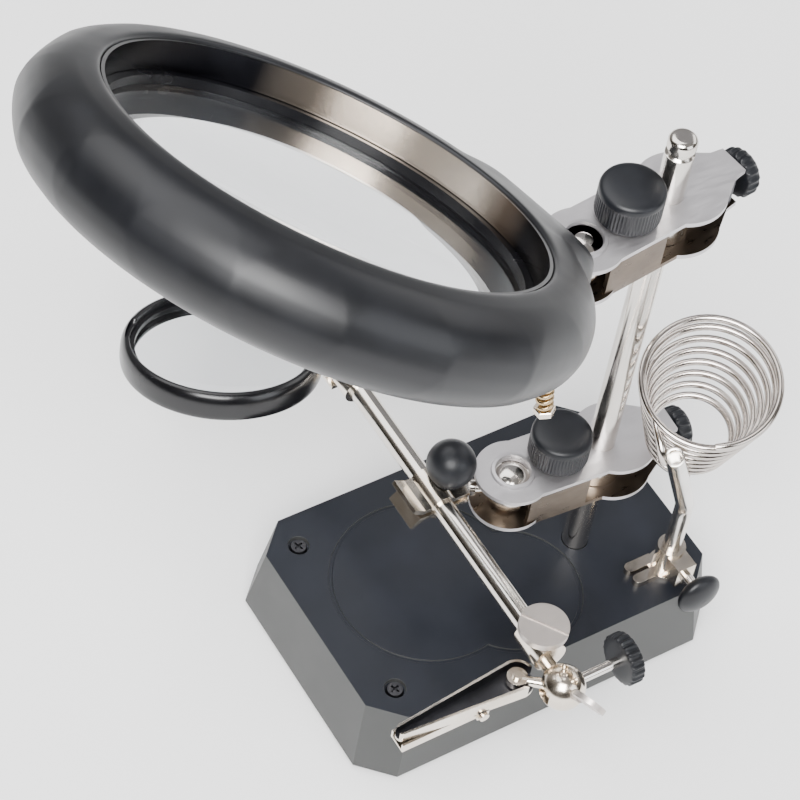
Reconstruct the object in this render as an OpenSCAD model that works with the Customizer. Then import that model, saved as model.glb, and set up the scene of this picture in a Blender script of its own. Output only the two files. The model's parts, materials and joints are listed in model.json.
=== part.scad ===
// Bench helping hands: weighted base, post, two plate brackets, large tilting magnifier,
// small magnifier and spring clip on a cross rod, and a coiled soldering-iron rest.
// X is the user's right, Y points to the back, Z is up; the origin is under the base's middle.

/* [Base] */
// Width of the base's top, left to right
base_w = 78; // [74:1:110]
// Depth of the base's top, front to back
base_d = 120; // [116:1:170]
// Height of the base over the bench, feet included
base_h = 28; // [27:1:45]
// Cut-off at each corner of the top
corner_cut = 9.6; // [6:0.2:12]
// How far each side leans out at the bottom
side_lean = 3.2; // [1:0.2:5]
// Wall of the base casing
casing_wall = 2.4; // [1.6:0.2:3.2]
// Height of the rubber feet
foot_h = 2; // [1.5:0.5:3]
// Distance of the casing screws from the top's edges
screw_inset = 10.7; // [10:0.1:13]

/* [Post] */
// Diameter of the post
post_d = 8; // [6:0.5:9]
// Height of the post's top over the bench
post_top = 206; // [200:1:260]
// Post to the right of the base's middle
post_x = 7; // [2:1:10]
// Post behind the base's middle
post_y = 27.5; // [22:0.5:30]

/* [Brackets] */
// Middle height of the lower bracket
lower_z = 70; // [62:1:74]
// Middle height of the upper bracket
upper_z = 177; // [170:1:185]
// Turn of the lower bracket about the post
lower_turn = -4; // [-8:1:2]
// Turn of the upper bracket about the post
upper_turn = 7; // [0:1:12]
// Distance from the post to the ball
ball_arm = 29.5; // [28:0.5:36]
// Diameter of the balls held by the brackets
ball_d = 15; // [14:0.5:16]
// Space between a bracket's two plates
plate_gap = 11.2; // [10.6:0.2:12]
// Sheet thickness of the bracket plates
plate_t = 1.4; // [1:0.1:2]
// Diameter of the main clamp knobs
knob_d = 18; // [16:0.5:20]
// Height of the main clamp knobs
knob_h = 11; // [8:0.5:13]
// Diameter of the end knobs
end_knob_d = 14; // [12:0.5:16]

/* [Cross arm] */
// Diameter of the cross rod
rod_d = 6.5; // [5:0.5:7]
// Length of the cross rod
rod_len = 110; // [104:1:150]
// Distance of the cross rod in front of the lower ball
rod_ahead = 21.2; // [20.8:0.2:24]
// Diameter of the black ball knob
ball_knob_d = 14.6; // [12:0.2:15]

/* [Large magnifier] */
// Clear diameter of the large opening
view_d = 116.4; // [100:0.2:120]
// Width of the rim outside the opening
rim_w = 15.8; // [14:0.2:18]
// Depth of the large housing
housing_d = 27; // [26:1:32]
// Rise of the large magnifier towards the user
mag_pitch = 31.5; // [20:0.5:40]
// Sideways roll of the large magnifier
mag_roll = -11.7; // [-14:0.1:0]
// Direction of the large magnifier's arm
mag_yaw = 92.9; // [88:0.1:96]
// Width of the neck at its hinge
neck_w = 50; // [44:1:56]

/* [Small magnifier] */
// Clear diameter of the small opening
small_view_d = 54.6; // [44:0.2:58]
// Height of the small frame
small_h = 9; // [8:0.5:11]

/* [Clip] */
// Length of the spring clip
clip_len = 44; // [40:1:52]
// Width of the clip at its rear
clip_w = 10; // [9:0.5:11]

/* [Iron rest] */
// Diameter of the coil's mouth, outside
coil_mouth_d = 41; // [36:0.5:44]
// Diameter of the coil's small end, outside
coil_end_d = 25; // [22:0.5:27]
// Length of the coil along its axis
coil_len = 46; // [36:1:48]
// Turns in the coil
coil_turns = 8; // [6:1:9]
// Wire of the coil
coil_wire = 2.2; // [1.6:0.1:2.4]

/* [Hidden] */
$fn = 48;
fine = 96;
tiny = 0.01;
run = 0.04;              // running fit, radial
loose = 0.3;             // free fit, radial or between faces
face = 0.1;              // gap between faces that slide on each other
post_r = post_d / 2;
rod_r = rod_d / 2;
ball_r = ball_d / 2;
plate_out = plate_gap / 2 + plate_t;

base_screw_x = base_w / 2 - screw_inset;
base_screw_y = base_d / 2 - screw_inset;
screw_r = 1.5;
boss_r = 3.6;
floor_t = 2.4;
casing_z = foot_h;
ballast_z = foot_h + floor_t;
ballast_h = 11;
ballast_w = base_w - 2 * casing_wall - 22;
ballast_d = base_d - 2 * casing_wall - 10;
stud_r = post_r - 1;
groove_w = 1.2;
groove_deep = 0.6;

lobe_r = 11.2;
lobe_back = 4.5;
post_lobe_r = 12.8;
mid_half = 10.4;
tip_end = 23.5;
tip_half = 4.6;
seat_r = sqrt(pow(ball_r, 2) - pow(plate_gap / 2, 2)) + 0.05;
bolt_back = 15;          // clamp bolt in front of the post
bolt_r = 2;
washer_t = 1.6;
collar_r = 7.4;
end_screw_r = 2;
tip_nut_back = 16.5;
tip_nut_t = 5;
end_knob_t = 5.5;
end_knob_at = tip_end + 1;

lower_ball = [post_x, post_y, lower_z] + spun([0, -ball_arm, 0], lower_turn);
upper_ball = [post_x, post_y, upper_z] + spun([0, -ball_arm, 0], upper_turn);

rod_x = 3;
rod_y = lower_ball.y - rod_ahead;
rod_z = lower_z - 0.5;
jaw_w = 12;
jaw_t = 1.2;
jaw_at = lower_ball.x - 8.2;
jaw_bolt_ahead = 4.8;    // clamp bolt behind the rod
jaw_bolt_r = 1.2;
tab_t = 1.8;

end_block_len = 11;
end_block_r = rod_r + 1.8;
right_end = rod_x + rod_len / 2;
left_end = rod_x - rod_len / 2;
socket_r = 6.6;
socket_in = 5.1;
socket_x = right_end + 9.5;
socket_z = rod_z - 4.5;
clip_ball_r = socket_in - run;
clip_rear = [right_end + 1.4, rod_y - 10, socket_z];
stem_turn = atan2(clip_rear.y - rod_y, clip_rear.x - socket_x);
clip_t = 0.8;
clip_pin_back = 13;
clip_deep = 4.8;
clip_floor = 2.2 - clip_deep;
clip_pin_drop = 1.35;    // the jaw's pin under the floor

stud_len = 20;
stud_eye_r = 5;
stud_eye_t = 5.6;
hinge_r = 2;
mag_reach = view_d / 2 + rim_w + 6.9;
mag_rise = housing_d - 0.7;
neck_drop = 4;           // the neck's floor under the ring's
neck_end = mag_reach + 3.1;
neck_lean = 16.9;
neck_round = 8;
tier_drop = 10;          // the tier under the far side
view_r = view_d / 2;
rim_r = view_r + rim_w;
shell_t = 2.2;
split_z = -13;
seat_z = -17;
lens_edge = 4;
lens_dome = 5;
lens_lift = 0.55;        // the domed face rests on the ledge's inner edge
ledge = 3.2;

small_r = small_view_d / 2;
small_rim = 3;
small_centre = [-78.6, -50.8, 70.8];
small_turn = 51.3;
small_pitch = -3.4;
small_roll = -17.7;
small_stud_r = 1.8;
small_axis = spun([cos(small_pitch), 0, -sin(small_pitch)], small_turn);
knuckle_r = 2.6;
knuckle_h = 6;
ear_t = 1.4;
knuckle_reach = small_view_d / 2 + 3 + knuckle_r + 0.35;
knuckle_at = [small_centre.x + 1.07, small_centre.y - 0.57, small_centre.z - 3.7]
    + knuckle_reach * small_axis;
sleeve_len = 8;
sleeve_r = rod_r + 1.5;

holder_x = 28;
holder_y = 47;
holder_rod_r = 2.8;
holder_bend_z = 60;
holder_top = [43.8, 19.3, 117.9];
coil_mouth = [31.7, 37.7, 127.7];
coil_lean = [11.8, 13.7, 0];
coil_start = -27;        // where the wire's cut end lies in the mouth
tail_start = -84;        // where the tail leaves the mouth
tail_foot = [40.4, 17.6, 116.6];

plate_colour = [0.7, 0.69, 0.68];
steel_colour = [0.8, 0.78, 0.74];
black_colour = [0.09, 0.1, 0.12];

function spun(p, a) = [p.x * cos(a) - p.y * sin(a), p.x * sin(a) + p.y * cos(a), p.z];
function mix(a, b, t) = a + (b - a) * t;

// ---- places ------------------------------------------------------------------------------

module at_lower() { translate([post_x, post_y, lower_z]) rotate([0, 0, lower_turn]) children(); }
module at_upper() { translate([post_x, post_y, upper_z]) rotate([0, 0, upper_turn]) children(); }
module at_stud() { translate(upper_ball) rotate([mag_roll, 0, mag_yaw]) children(); }
module at_hinge() { at_stud() translate([-stud_len, 0, 0]) rotate([0, mag_pitch, 0]) children(); }
module at_lens() { at_hinge() translate([-mag_reach, 0, mag_rise]) children(); }
module at_small() {
    translate(small_centre) rotate([small_roll, small_pitch, small_turn]) children();
}

// a straight round bar from one point to another
module bar(a, b, r) {
    d = b - a;
    translate(a)
        rotate([0, acos(d.z / norm(d)), atan2(d.y, d.x)])
            cylinder(r = r, h = norm(d));
}

// ---- base --------------------------------------------------------------------------------

module octagon(w, d, c) {
    polygon([
        [w / 2 - c, -d / 2], [w / 2, -d / 2 + c], [w / 2, d / 2 - c], [w / 2 - c, d / 2],
        [-w / 2 + c, d / 2], [-w / 2, d / 2 - c], [-w / 2, -d / 2 + c], [-w / 2 + c, -d / 2]]);
}

// the base's leaning block, taken in by a wall's thickness
module base_block(wall, top) {
    slab = 0.6;
    hull() {
        translate([0, 0, casing_z])
            linear_extrude(slab)
                octagon(base_w + 2 * (side_lean - wall), base_d + 2 * (side_lean - wall),
                    corner_cut - 0.6 * wall);
        translate([0, 0, top - slab])
            linear_extrude(slab)
                octagon(base_w - 2 * wall, base_d - 2 * wall, corner_cut - 0.6 * wall);
    }
}

module at_casing_screws() {
    for (x = [-base_screw_x, base_screw_x])
        for (y = [-base_screw_y, base_screw_y])
            translate([x, y, 0]) children();
}

module ring_line(grow) {
    circle(r = 28.6 + grow, $fn = fine);
    translate([14.2, 21.2]) circle(r = 21.6 + grow, $fn = fine);
}

module base_casing() {
    color([0.16, 0.17, 0.2])
        difference() {
            base_block(0, base_h);
            difference() {
                base_block(casing_wall, base_h - casing_wall);
                at_casing_screws() translate([0, 0, base_h - 8]) cylinder(r = boss_r, h = 8);
            }
            translate([0, 0, casing_z - tiny]) linear_extrude(floor_t + tiny)
                octagon(base_w + 2 * (side_lean - casing_wall), base_d + 2 * (side_lean - casing_wall),
                    corner_cut - 0.6 * casing_wall);
            at_casing_screws() {
                translate([0, 0, base_h - 1.6]) cylinder(r = 3.3, h = 2);
                translate([0, 0, base_h - 9]) cylinder(r = screw_r + 0.15, h = 9);
            }
            translate([post_x, post_y, base_h - 5]) cylinder(r = post_r + 0.1, h = 6);
            translate([0, -21.7, base_h - groove_deep])
                linear_extrude(groove_deep + 1)
                    difference() {
                        ring_line(groove_w / 2);
                        ring_line(-groove_w / 2);
                    }
        }
}

module bottom_plate() {
    inset = casing_wall + 0.2;
    color([0.12, 0.12, 0.13])
        difference() {
            union() {
                translate([0, 0, casing_z]) linear_extrude(floor_t)
                    octagon(base_w + 2 * (side_lean - inset), base_d + 2 * (side_lean - inset),
                        corner_cut - 0.6 * inset);
                at_casing_screws() translate([0, 0, casing_z])
                    cylinder(r = boss_r, h = base_h - 8 - casing_z - face);
            }
            at_casing_screws() translate([0, 0, casing_z + 2])
                cylinder(r = screw_r, h = base_h);
            translate([post_x, post_y, casing_z - 1]) cylinder(r = 7, h = floor_t + 2);
        }
}

module ballast() {
    color([0.3, 0.3, 0.32])
        difference() {
            translate([-ballast_w / 2, -ballast_d / 2, ballast_z])
                cube([ballast_w, ballast_d, ballast_h]);
            translate([post_x, post_y, ballast_z - 1]) cylinder(r = stud_r, h = ballast_h + 2);
            at_casing_screws() translate([0, 0, ballast_z - 1])
                cylinder(r = boss_r + 0.4, h = ballast_h + 2);
        }
}

module casing_screws() {
    color([0.08, 0.08, 0.09])
        at_casing_screws()
            difference() {
                union() {
                    translate([0, 0, base_h - 1.6]) cylinder(r1 = 2.8, r2 = 2.3, h = 1.3);
                    translate([0, 0, base_h - 14]) cylinder(r = screw_r, h = 13);
                }
                for (a = [0, 90])
                    translate([0, 0, base_h - 0.6]) rotate([0, 0, a + 20])
                        cube([3, 0.7, 1.2], center = true);
            }
}

// four feet and a round pad under the middle
module feet() {
    color([0.05, 0.05, 0.05]) {
        for (x = [-1, 1])
            for (y = [-1, 1])
                translate([x * (base_w / 2 - 8), y * (base_d / 2 - 14), 0])
                    cylinder(r1 = 5.4, r2 = 6, h = foot_h);
        cylinder(r1 = 8.4, r2 = 9, h = foot_h);
    }
}

module post() {
    shoulder = ballast_z + ballast_h;
    color([0.76, 0.74, 0.7])
        translate([post_x, post_y, 0]) {
            translate([0, 0, shoulder]) rotate_extrude($fn = fine)
                polygon([
                    [0, 0], [post_r, 0], [post_r, post_top - shoulder - 6],
                    [post_r - 0.7, post_top - shoulder - 5.4],
                    [post_r - 0.7, post_top - shoulder - 4.4],
                    [post_r, post_top - shoulder - 3.8],
                    [post_r, post_top - shoulder - 1.4],
                    [post_r - 0.5, post_top - shoulder - 0.5],
                    [post_r - 1.5, post_top - shoulder], [0, post_top - shoulder]]);
            translate([0, 0, foot_h + 0.4]) cylinder(r = stud_r, h = shoulder - foot_h - 0.4);
        }
}

module post_nut() {
    color([0.6, 0.6, 0.6])
        translate([post_x, post_y, foot_h + 0.2])
            difference() {
                cylinder(r = 6.2, h = floor_t - 0.2, $fn = 6);
                translate([0, 0, -1]) cylinder(r = stud_r, h = 8);
            }
}

// ---- brackets: the post's axis at the middle of the gap, the ball towards -Y ---------------

module plate_outline() {
    translate([0, -ball_arm]) circle(r = lobe_r, $fn = fine);
    translate([-mid_half, -ball_arm]) square([2 * mid_half, ball_arm]);
    translate([0, lobe_back]) circle(r = post_lobe_r, $fn = fine);
    polygon([
        [-post_lobe_r + 1.6, lobe_back + 5.8], [post_lobe_r - 1.6, lobe_back + 5.8],
        [tip_half + 0.6, tip_end - 4], [tip_half, tip_end],
        [-tip_half, tip_end], [-tip_half - 0.6, tip_end - 4]]);
}

module plate_sheet() {
    difference() {
        linear_extrude(plate_t) plate_outline();
        translate([0, -ball_arm, -1]) cylinder(r = seat_r, h = plate_t + 2, $fn = fine);
        translate([0, 0, -1]) cylinder(r = post_r + run, h = plate_t + 2);
        translate([0, -bolt_back, -1]) cylinder(r = bolt_r + loose, h = plate_t + 2);
    }
}

module seat_rim() {
    translate([0, -ball_arm, 0])
        rotate_extrude($fn = fine)
            polygon([[seat_r, 0], [seat_r + 1.5, 0], [seat_r + 1.2, 0.8], [seat_r + 0.3, 0.9]]);
}

module bracket_top() {
    translate([0, 0, plate_gap / 2]) plate_sheet();
    translate([0, 0, plate_out - tiny]) seat_rim();
}

module bracket_bottom() {
    wall_front = ball_arm - 1;
    wall_back = 9;
    translate([0, 0, -plate_out]) plate_sheet();
    mirror([0, 0, 1]) translate([0, 0, plate_out - tiny]) seat_rim();
    for (side = [-1, 1])
        translate([side * (mid_half - plate_t / 2) - plate_t / 2, -wall_front, -plate_gap / 2 - tiny])
            cube([plate_t, wall_front - wall_back, plate_gap - face]);
}

module bracket_collar() {
    half = plate_gap / 2 - face;
    difference() {
        translate([0, 0, -half]) cylinder(r = collar_r, h = 2 * half, $fn = fine);
        translate([0, 0, -half - 1]) cylinder(r = post_r + run, h = 2 * half + 2);
    }
}

module bracket_tip_nut() {
    half = plate_gap / 2;
    difference() {
        translate([-tip_half + 0.4, tip_nut_back, -half])
            cube([2 * tip_half - 0.8, tip_nut_t, 2 * half]);
        translate([0, tip_nut_back - 1, 0]) rotate([-90, 0, 0])
            cylinder(r = end_screw_r + run, h = tip_nut_t + 2);
    }
}

module bracket_end_screw() {
    reach = collar_r + 0.2;
    translate([0, reach, 0]) rotate([-90, 0, 0])
        cylinder(r = end_screw_r, h = end_knob_at + 2.5 - reach);
}

module bracket_end_knob() {
    half = end_knob_d / 2;
    translate([0, end_knob_at, 0]) rotate([-90, 0, 0])
        difference() {
            rotate_extrude($fn = fine)
                polygon([
                    [0, 0], [half - 1.2, 0], [half, 1.2], [half, end_knob_t - 2.2],
                    [half - 0.8, end_knob_t - 0.9], [half - 2.4, end_knob_t - 0.1],
                    [half - 4, end_knob_t], [0, end_knob_t]]);
            translate([0, 0, -1]) cylinder(r = end_screw_r, h = 3.5);
        }
}

module bracket_bolt() {
    head = plate_out + washer_t;
    translate([0, -bolt_back, 0]) {
        translate([0, 0, -plate_out - 5]) cylinder(r = bolt_r, h = head + 3 + plate_out + 5);
        translate([0, 0, plate_out]) cylinder(r = 5, h = washer_t);
    }
}

module bracket_bolt_nut() {
    translate([0, -bolt_back, -plate_out - 3.2])
        difference() {
            cylinder(r = 4, h = 3.2, $fn = 6);
            translate([0, 0, -1]) cylinder(r = bolt_r, h = 6);
        }
}

module bracket_knob() {
    half = knob_d / 2;
    translate([0, -bolt_back, plate_out + washer_t + face])
        difference() {
            rotate_extrude($fn = fine)
                polygon([
                    [0, 0], [half - 0.8, 0], [half, 0.8], [half, knob_h - 2.2],
                    [half - 0.7, knob_h - 0.9], [half - 2, knob_h - 0.2],
                    [half - 4.5, knob_h], [0, knob_h]]);
            translate([0, 0, -1]) cylinder(r = bolt_r + run, h = 4.2);
        }
}

// ---- cross arm -----------------------------------------------------------------------------

module at_jaws() { translate([jaw_at, rod_y, rod_z]) children(); }

// one stamped jaw, its profile in the Y-Z plane, arched over the rod
module jaw_half() {
    grip = rod_r + run;
    rotate([90, 0, 90])
        translate([0, 0, -jaw_w / 2])
            linear_extrude(jaw_w)
                intersection() {
                    difference() {
                        union() {
                            circle(r = grip + jaw_t, $fn = fine);
                            square([jaw_bolt_ahead + 4, tab_t / 2 + jaw_t]);
                            polygon([
                                [0, tab_t / 2 + jaw_t], [-rod_r - 3, tab_t / 2 + jaw_t + 0.2],
                                [-rod_r - 6.6, 4.6], [-rod_r - 7.4, 3.6], [-rod_r - 3.4, 0], [0, 0]]);
                        }
                        circle(r = grip, $fn = fine);
                    }
                    translate([-20, tab_t / 2]) square([40, 20]);
                }
}

module jaw_bolt_hole() {
    translate([0, jaw_bolt_ahead, -20]) cylinder(r = jaw_bolt_r + 0.15, h = 40);
}

module arm_upper_jaw() {
    color([0.78, 0.74, 0.68])
        at_jaws() difference() { jaw_half(); jaw_bolt_hole(); }
}

module arm_lower_jaw() {
    color([0.78, 0.74, 0.68])
        at_jaws() difference() { mirror([0, 0, 1]) jaw_half(); jaw_bolt_hole(); }
}

module arm_ball() {
    tab = [jaw_at, rod_y + jaw_bolt_ahead, rod_z];
    neck_at = mix(tab, lower_ball, 0.36);
    lean = atan2(neck_at.y - tab.y, neck_at.x - tab.x);
    reach = norm([neck_at.x - tab.x, neck_at.y - tab.y]);
    color([0.8, 0.79, 0.77])
        difference() {
            union() {
                translate(lower_ball) sphere(r = ball_r - 0.05, $fn = fine);
                bar(neck_at, lower_ball, 1.9);
                translate([tab.x, tab.y, tab.z - tab_t / 2 + 0.05])
                    linear_extrude(tab_t - 0.1) {
                        rotate([0, 0, lean]) translate([0, -2.4]) square([reach + 1.5, 4.8]);
                        circle(r = 3);
                    }
            }
            at_jaws() jaw_bolt_hole();
            translate([rod_x, rod_y, rod_z]) rotate([0, 90, 0])
                cylinder(r = rod_r + 0.3, h = 2 * jaw_w, center = true);
        }
}

module arm_bolt() {
    color([0.7, 0.68, 0.64])
        at_jaws() translate([0, jaw_bolt_ahead, 0]) {
            translate([0, 0, -rod_r - 3]) cylinder(r = jaw_bolt_r, h = rod_r + 11);
            translate([0, 0, -rod_r - 3]) cylinder(r = 1.9, h = 2.6);
        }
}

module arm_ball_knob() {
    half = ball_knob_d / 2;
    foot = rod_r + run + jaw_t + 0.3;
    color([0.09, 0.1, 0.12])
        at_jaws() translate([0, jaw_bolt_ahead, 0])
            difference() {
                union() {
                    translate([0, 0, foot + half - 1]) sphere(r = half, $fn = fine);
                    translate([0, 0, foot]) cylinder(r = half - 2.2, h = 3, $fn = fine);
                    translate([0, 0, rod_r + 0.5]) cylinder(r = 1.9, h = foot);
                }
                translate([0, 0, -1]) cylinder(r = jaw_bolt_r + run, h = 9.4);
            }
}

module cross_rod() {
    color([0.78, 0.76, 0.72])
        translate([left_end, rod_y, rod_z]) rotate([0, 90, 0])
            rotate_extrude($fn = fine)
                polygon([
                    [0, 0], [rod_r - 0.6, 0], [rod_r, 0.6], [rod_r, rod_len - 0.6],
                    [rod_r - 0.6, rod_len], [0, rod_len]]);
}

// ---- small magnifier -------------------------------------------------------------------------

module rod_sleeve() {
    arm = left_end - 1 - knuckle_at.x + 1;
    color([0.8, 0.75, 0.68])
        difference() {
            union() {
                translate([left_end - 1, rod_y, rod_z]) rotate([0, 90, 0])
                    cylinder(r = sleeve_r, h = sleeve_len, $fn = fine);
                for (side = [-1, 1])
                    translate([knuckle_at.x, knuckle_at.y, knuckle_at.z + side * (knuckle_h + ear_t) / 2
                        + side * face - ear_t / 2])
                        linear_extrude(ear_t) {
                            circle(r = knuckle_r);
                            translate([0, -knuckle_r]) square([arm, 2 * knuckle_r]);
                        }
                translate([knuckle_at.x, knuckle_at.y, knuckle_at.z - knuckle_h / 2 - face - ear_t - 0.7])
                    cylinder(r = 1.1, h = knuckle_h + 2 * face + 2 * ear_t + 0.7);
                translate([knuckle_at.x, knuckle_at.y, knuckle_at.z + knuckle_h / 2 + face + ear_t - tiny])
                    cylinder(r = 2, h = 0.8);
            }
            translate([left_end, rod_y, rod_z]) rotate([0, 90, 0])
                cylinder(r = rod_r + run, h = sleeve_len + 2);
        }
}

// the knuckle hangs on the sleeve's pin, and its stud turns in the frame's rim
module lens_knuckle() {
    rim = small_r + small_rim;
    color([0.8, 0.75, 0.68])
        difference() {
            union() {
                translate([knuckle_at.x, knuckle_at.y, knuckle_at.z - knuckle_h / 2])
                    cylinder(r = knuckle_r, h = knuckle_h);
                at_small() translate([rim - 2.2, 0, -small_h / 2 + 0.6]) rotate([0, 90, 0]) {
                    cylinder(r = small_stud_r, h = 4);
                    translate([0, 0, 2.4]) cylinder(r = 2.9, h = 0.9);
                }
            }
            translate([knuckle_at.x, knuckle_at.y, knuckle_at.z - knuckle_h])
                cylinder(r = 1.1 + run, h = 2 * knuckle_h);
        }
}

module small_frame() {
    rim = small_r + small_rim;
    color([0.08, 0.08, 0.09])
        at_small()
            difference() {
                rotate_extrude($fn = fine)
                    polygon([
                        [small_r, 0], [small_r + 1.6, -0.2], [rim - 0.6, -1.6], [rim, -4],
                        [rim, -small_h + 0.8], [rim - 0.8, -small_h],
                        [small_r - 1.4, -small_h], [small_r - 1.4, -small_h + 1.4],
                        [small_r, -small_h + 1.4]]);
                translate([rim - 2.5, 0, -small_h / 2 + 0.6]) rotate([0, 90, 0])
                    cylinder(r = small_stud_r + run, h = 5);
                rotate([0, 0, 231 - small_turn]) translate([small_r - 2, -5, -1.6]) cube([2.9, 10, 3]);
            }
}

module biconvex(r, edge, dome) {
    big = (pow(r, 2) + pow(dome, 2)) / (2 * dome);
    rotate_extrude($fn = fine)
        intersection() {
            translate([0, -edge / 2 - dome]) square([r, edge + 2 * dome]);
            translate([0, edge / 2 + dome - big]) circle(r = big, $fn = 720);
            translate([0, -edge / 2 - dome + big]) circle(r = big, $fn = 720);
        }
}

module small_lens() {
    color([0.8, 0.88, 0.92, 0.5])
        at_small() translate([0, 0, -small_h + 1.4 + 1.5 + 0.25])
            biconvex(small_r - 0.1, 3, 2.2);
}

module small_retainer() {
    color([0.1, 0.1, 0.11])
        at_small() translate([0, 0, -small_h + 1.4 + 3 + 0.5])
            difference() {
                cylinder(r = small_r - 0.05, h = 1.4, $fn = fine);
                translate([0, 0, -1]) cylinder(r = small_r - 1.3, h = 4, $fn = fine);
            }
}

// ---- clip end --------------------------------------------------------------------------------

module end_block() {
    color([0.78, 0.73, 0.66])
        difference() {
            union() {
                translate([right_end - end_block_len + 2, rod_y, rod_z]) rotate([0, 90, 0])
                    cylinder(r = end_block_r, h = end_block_len, $fn = fine);
                translate([right_end - 3.6, rod_y, rod_z]) cylinder(r = 4, h = end_block_r + 1);
                translate([right_end + 1.5, rod_y, socket_z + 0.6]) rotate([0, 90, 0])
                    cylinder(r = 2.4, h = socket_x - socket_in - right_end - 1.8);
            }
            translate([right_end - end_block_len, rod_y, rod_z]) rotate([0, 90, 0])
                cylinder(r = rod_r + run, h = end_block_len + 0.2);
            translate([right_end - 3.6, rod_y, rod_z]) cylinder(r = 1.5 + run, h = 20);
        }
}

module block_screw() {
    top = rod_z + end_block_r + 1.8;
    color([0.8, 0.76, 0.71])
        translate([right_end - 3.6, rod_y, 0])
            difference() {
                union() {
                    translate([0, 0, rod_z + rod_r + 0.15]) cylinder(r = 1.5, h = top - rod_z - rod_r);
                    translate([0, 0, top]) cylinder(r = 7.2, h = 2.2, $fn = fine);
                    translate([0, 0, top - 0.6 - tiny]) cylinder(r = 3, h = 0.6);
                }
                translate([0, 0, top + 2.2]) rotate([0, 0, 35]) cube([20, 0.9, 1.6], center = true);
            }
}

module ball_socket() {
    color([0.8, 0.75, 0.68])
        translate([socket_x, rod_y, socket_z])
            difference() {
                sphere(r = socket_r, $fn = fine);
                sphere(r = socket_in, $fn = fine);
                // the mouth that the clip's stem swings in, and the lug's seat
                rotate([0, 0, stem_turn]) translate([3.3, -10, -2.4]) cube([10, 20, 4.8]);
                translate([0, 0, 0.6]) rotate([0, -90, 0]) cylinder(r = 2.4, h = 10);
                // the holes in the cup and the screws' ways
                translate([0, 0, 2]) cylinder(r = 2, h = 8);
                rotate([0, 55, 0]) cylinder(r = 1.5 + run, h = 10);
                rotate([-90, 0, 0]) cylinder(r = 1.5 + run, h = 10);
                for (a = [25, 155]) rotate([0, 0, a]) rotate([0, 25, 0]) cylinder(r = 1.2, h = 9);
            }
}

module socket_screw() {
    color([0.78, 0.76, 0.72])
        translate([socket_x, rod_y + socket_in + 0.2, socket_z]) rotate([-90, 0, 0])
            cylinder(r = 1.5, h = 17);
}

module socket_knob() {
    half = 7.8;
    color([0.08, 0.09, 0.11])
        translate([socket_x, rod_y + socket_in + 13.4, socket_z]) rotate([-90, 0, 0])
            difference() {
                rotate_extrude($fn = fine)
                    polygon([
                        [0, 0], [half - 1, 0], [half, 0.9], [half, 3.8], [half - 1, 4.8], [0, 4.8]]);
                translate([0, 0, -1]) cylinder(r = 1.5, h = 4.8);
            }
}

module paddle_screw() {
    color([0.66, 0.62, 0.56])
        translate([socket_x, rod_y, socket_z]) rotate([0, 55, 0]) {
            translate([0, 0, socket_in + 0.25]) cylinder(r = 1.5, h = 4.2);
            translate([0, 0, socket_in + 8.6]) rotate([90, 0, 35])
                cylinder(r = 5.2, h = 1.6, center = true, $fn = fine);
        }
}

module clip_ball() {
    centre = [socket_x, rod_y, socket_z];
    color([0.72, 0.7, 0.66]) {
        translate(centre) sphere(r = clip_ball_r, $fn = fine);
        bar([clip_rear.x, clip_rear.y, centre.z], centre, 1.5);
        translate([clip_rear.x, clip_rear.y, centre.z - 1.1]) cylinder(r = 3, h = 2.5);
        translate([clip_rear.x, clip_rear.y, centre.z - 3.4]) cylinder(r = 1.4, h = 5.8);
        translate([clip_rear.x, clip_rear.y, centre.z - 3.5]) cylinder(r = 2.2, h = 0.8);
    }
}

// a tapering channel, its open side up; -Y is towards the tip
module clip_channel(w, deep, tip_w) {
    rear = w / 2;
    hull() {
        cylinder(r = rear, h = deep);
        translate([0, -clip_len + rear + tip_w / 2, 0]) cylinder(r = tip_w / 2, h = deep - 1);
    }
}

module at_clip() { translate(clip_rear) children(); }

module clip_upper_jaw() {
    w = clip_w;
    ear_x = 3.35;
    color([0.8, 0.72, 0.64])
        at_clip() translate([0, 0, clip_floor])
            difference() {
                union() {
                    difference() {
                        clip_channel(w, clip_deep, 3.6);
                        translate([0, 0, clip_t]) clip_channel(w - 2 * clip_t, clip_deep, 2);
                        rotate([0, 0, stem_turn + 180]) translate([2, -3.4, clip_t + 0.2]) cube([9, 6.8, 9]);
                    }
                    for (x = [-ear_x - clip_t, ear_x])
                        translate([x, -clip_pin_back - 1.8, -clip_pin_drop - 1.2])
                            cube([clip_t, 3.6, clip_pin_drop + 1.2 + clip_t / 2]);
                }
                translate([0, 0, -1]) cylinder(r = 1.4 + run, h = 4);
                translate([-20, -clip_pin_back, -clip_pin_drop]) rotate([0, 90, 0]) cylinder(r = 1, h = 40);
            }
}

module clip_lower_jaw() {
    w = 6;
    color([0.78, 0.72, 0.65])
        at_clip() translate([0, 0, clip_floor])
            difference() {
                translate([-w / 2, -clip_len + 5.6, -3.4]) cube([w, clip_len - 14, 3.2]);
                translate([-w / 2 + clip_t, -clip_len + 4, -2.6]) cube([w - 2 * clip_t, clip_len - 14, 4]);
                translate([-20, -clip_pin_back, -clip_pin_drop]) rotate([0, 90, 0])
                    cylinder(r = 1 + run, h = 40);
                translate([-w, -clip_pin_back - 4, -0.9]) cube([2 * w, 20, 4]);
                translate([-w, -clip_pin_back + 2, -5]) cube([2 * w, 20, 8]);
                for (i = [0 : 6])
                    translate([-w, -clip_len + 7 + i * 1.8, -0.2]) rotate([45, 0, 0])
                        cube([2 * w, 0.9, 0.9]);
            }
}

module clip_pin() {
    color([0.7, 0.68, 0.64])
        at_clip() translate([0, -clip_pin_back, clip_floor - clip_pin_drop]) rotate([0, 90, 0]) {
            cylinder(r = 1, h = 9.2, center = true);
            for (side = [-1, 1]) translate([0, 0, side * 4.6]) cylinder(r = 1.5, h = 0.8, center = true);
        }
}

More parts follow.
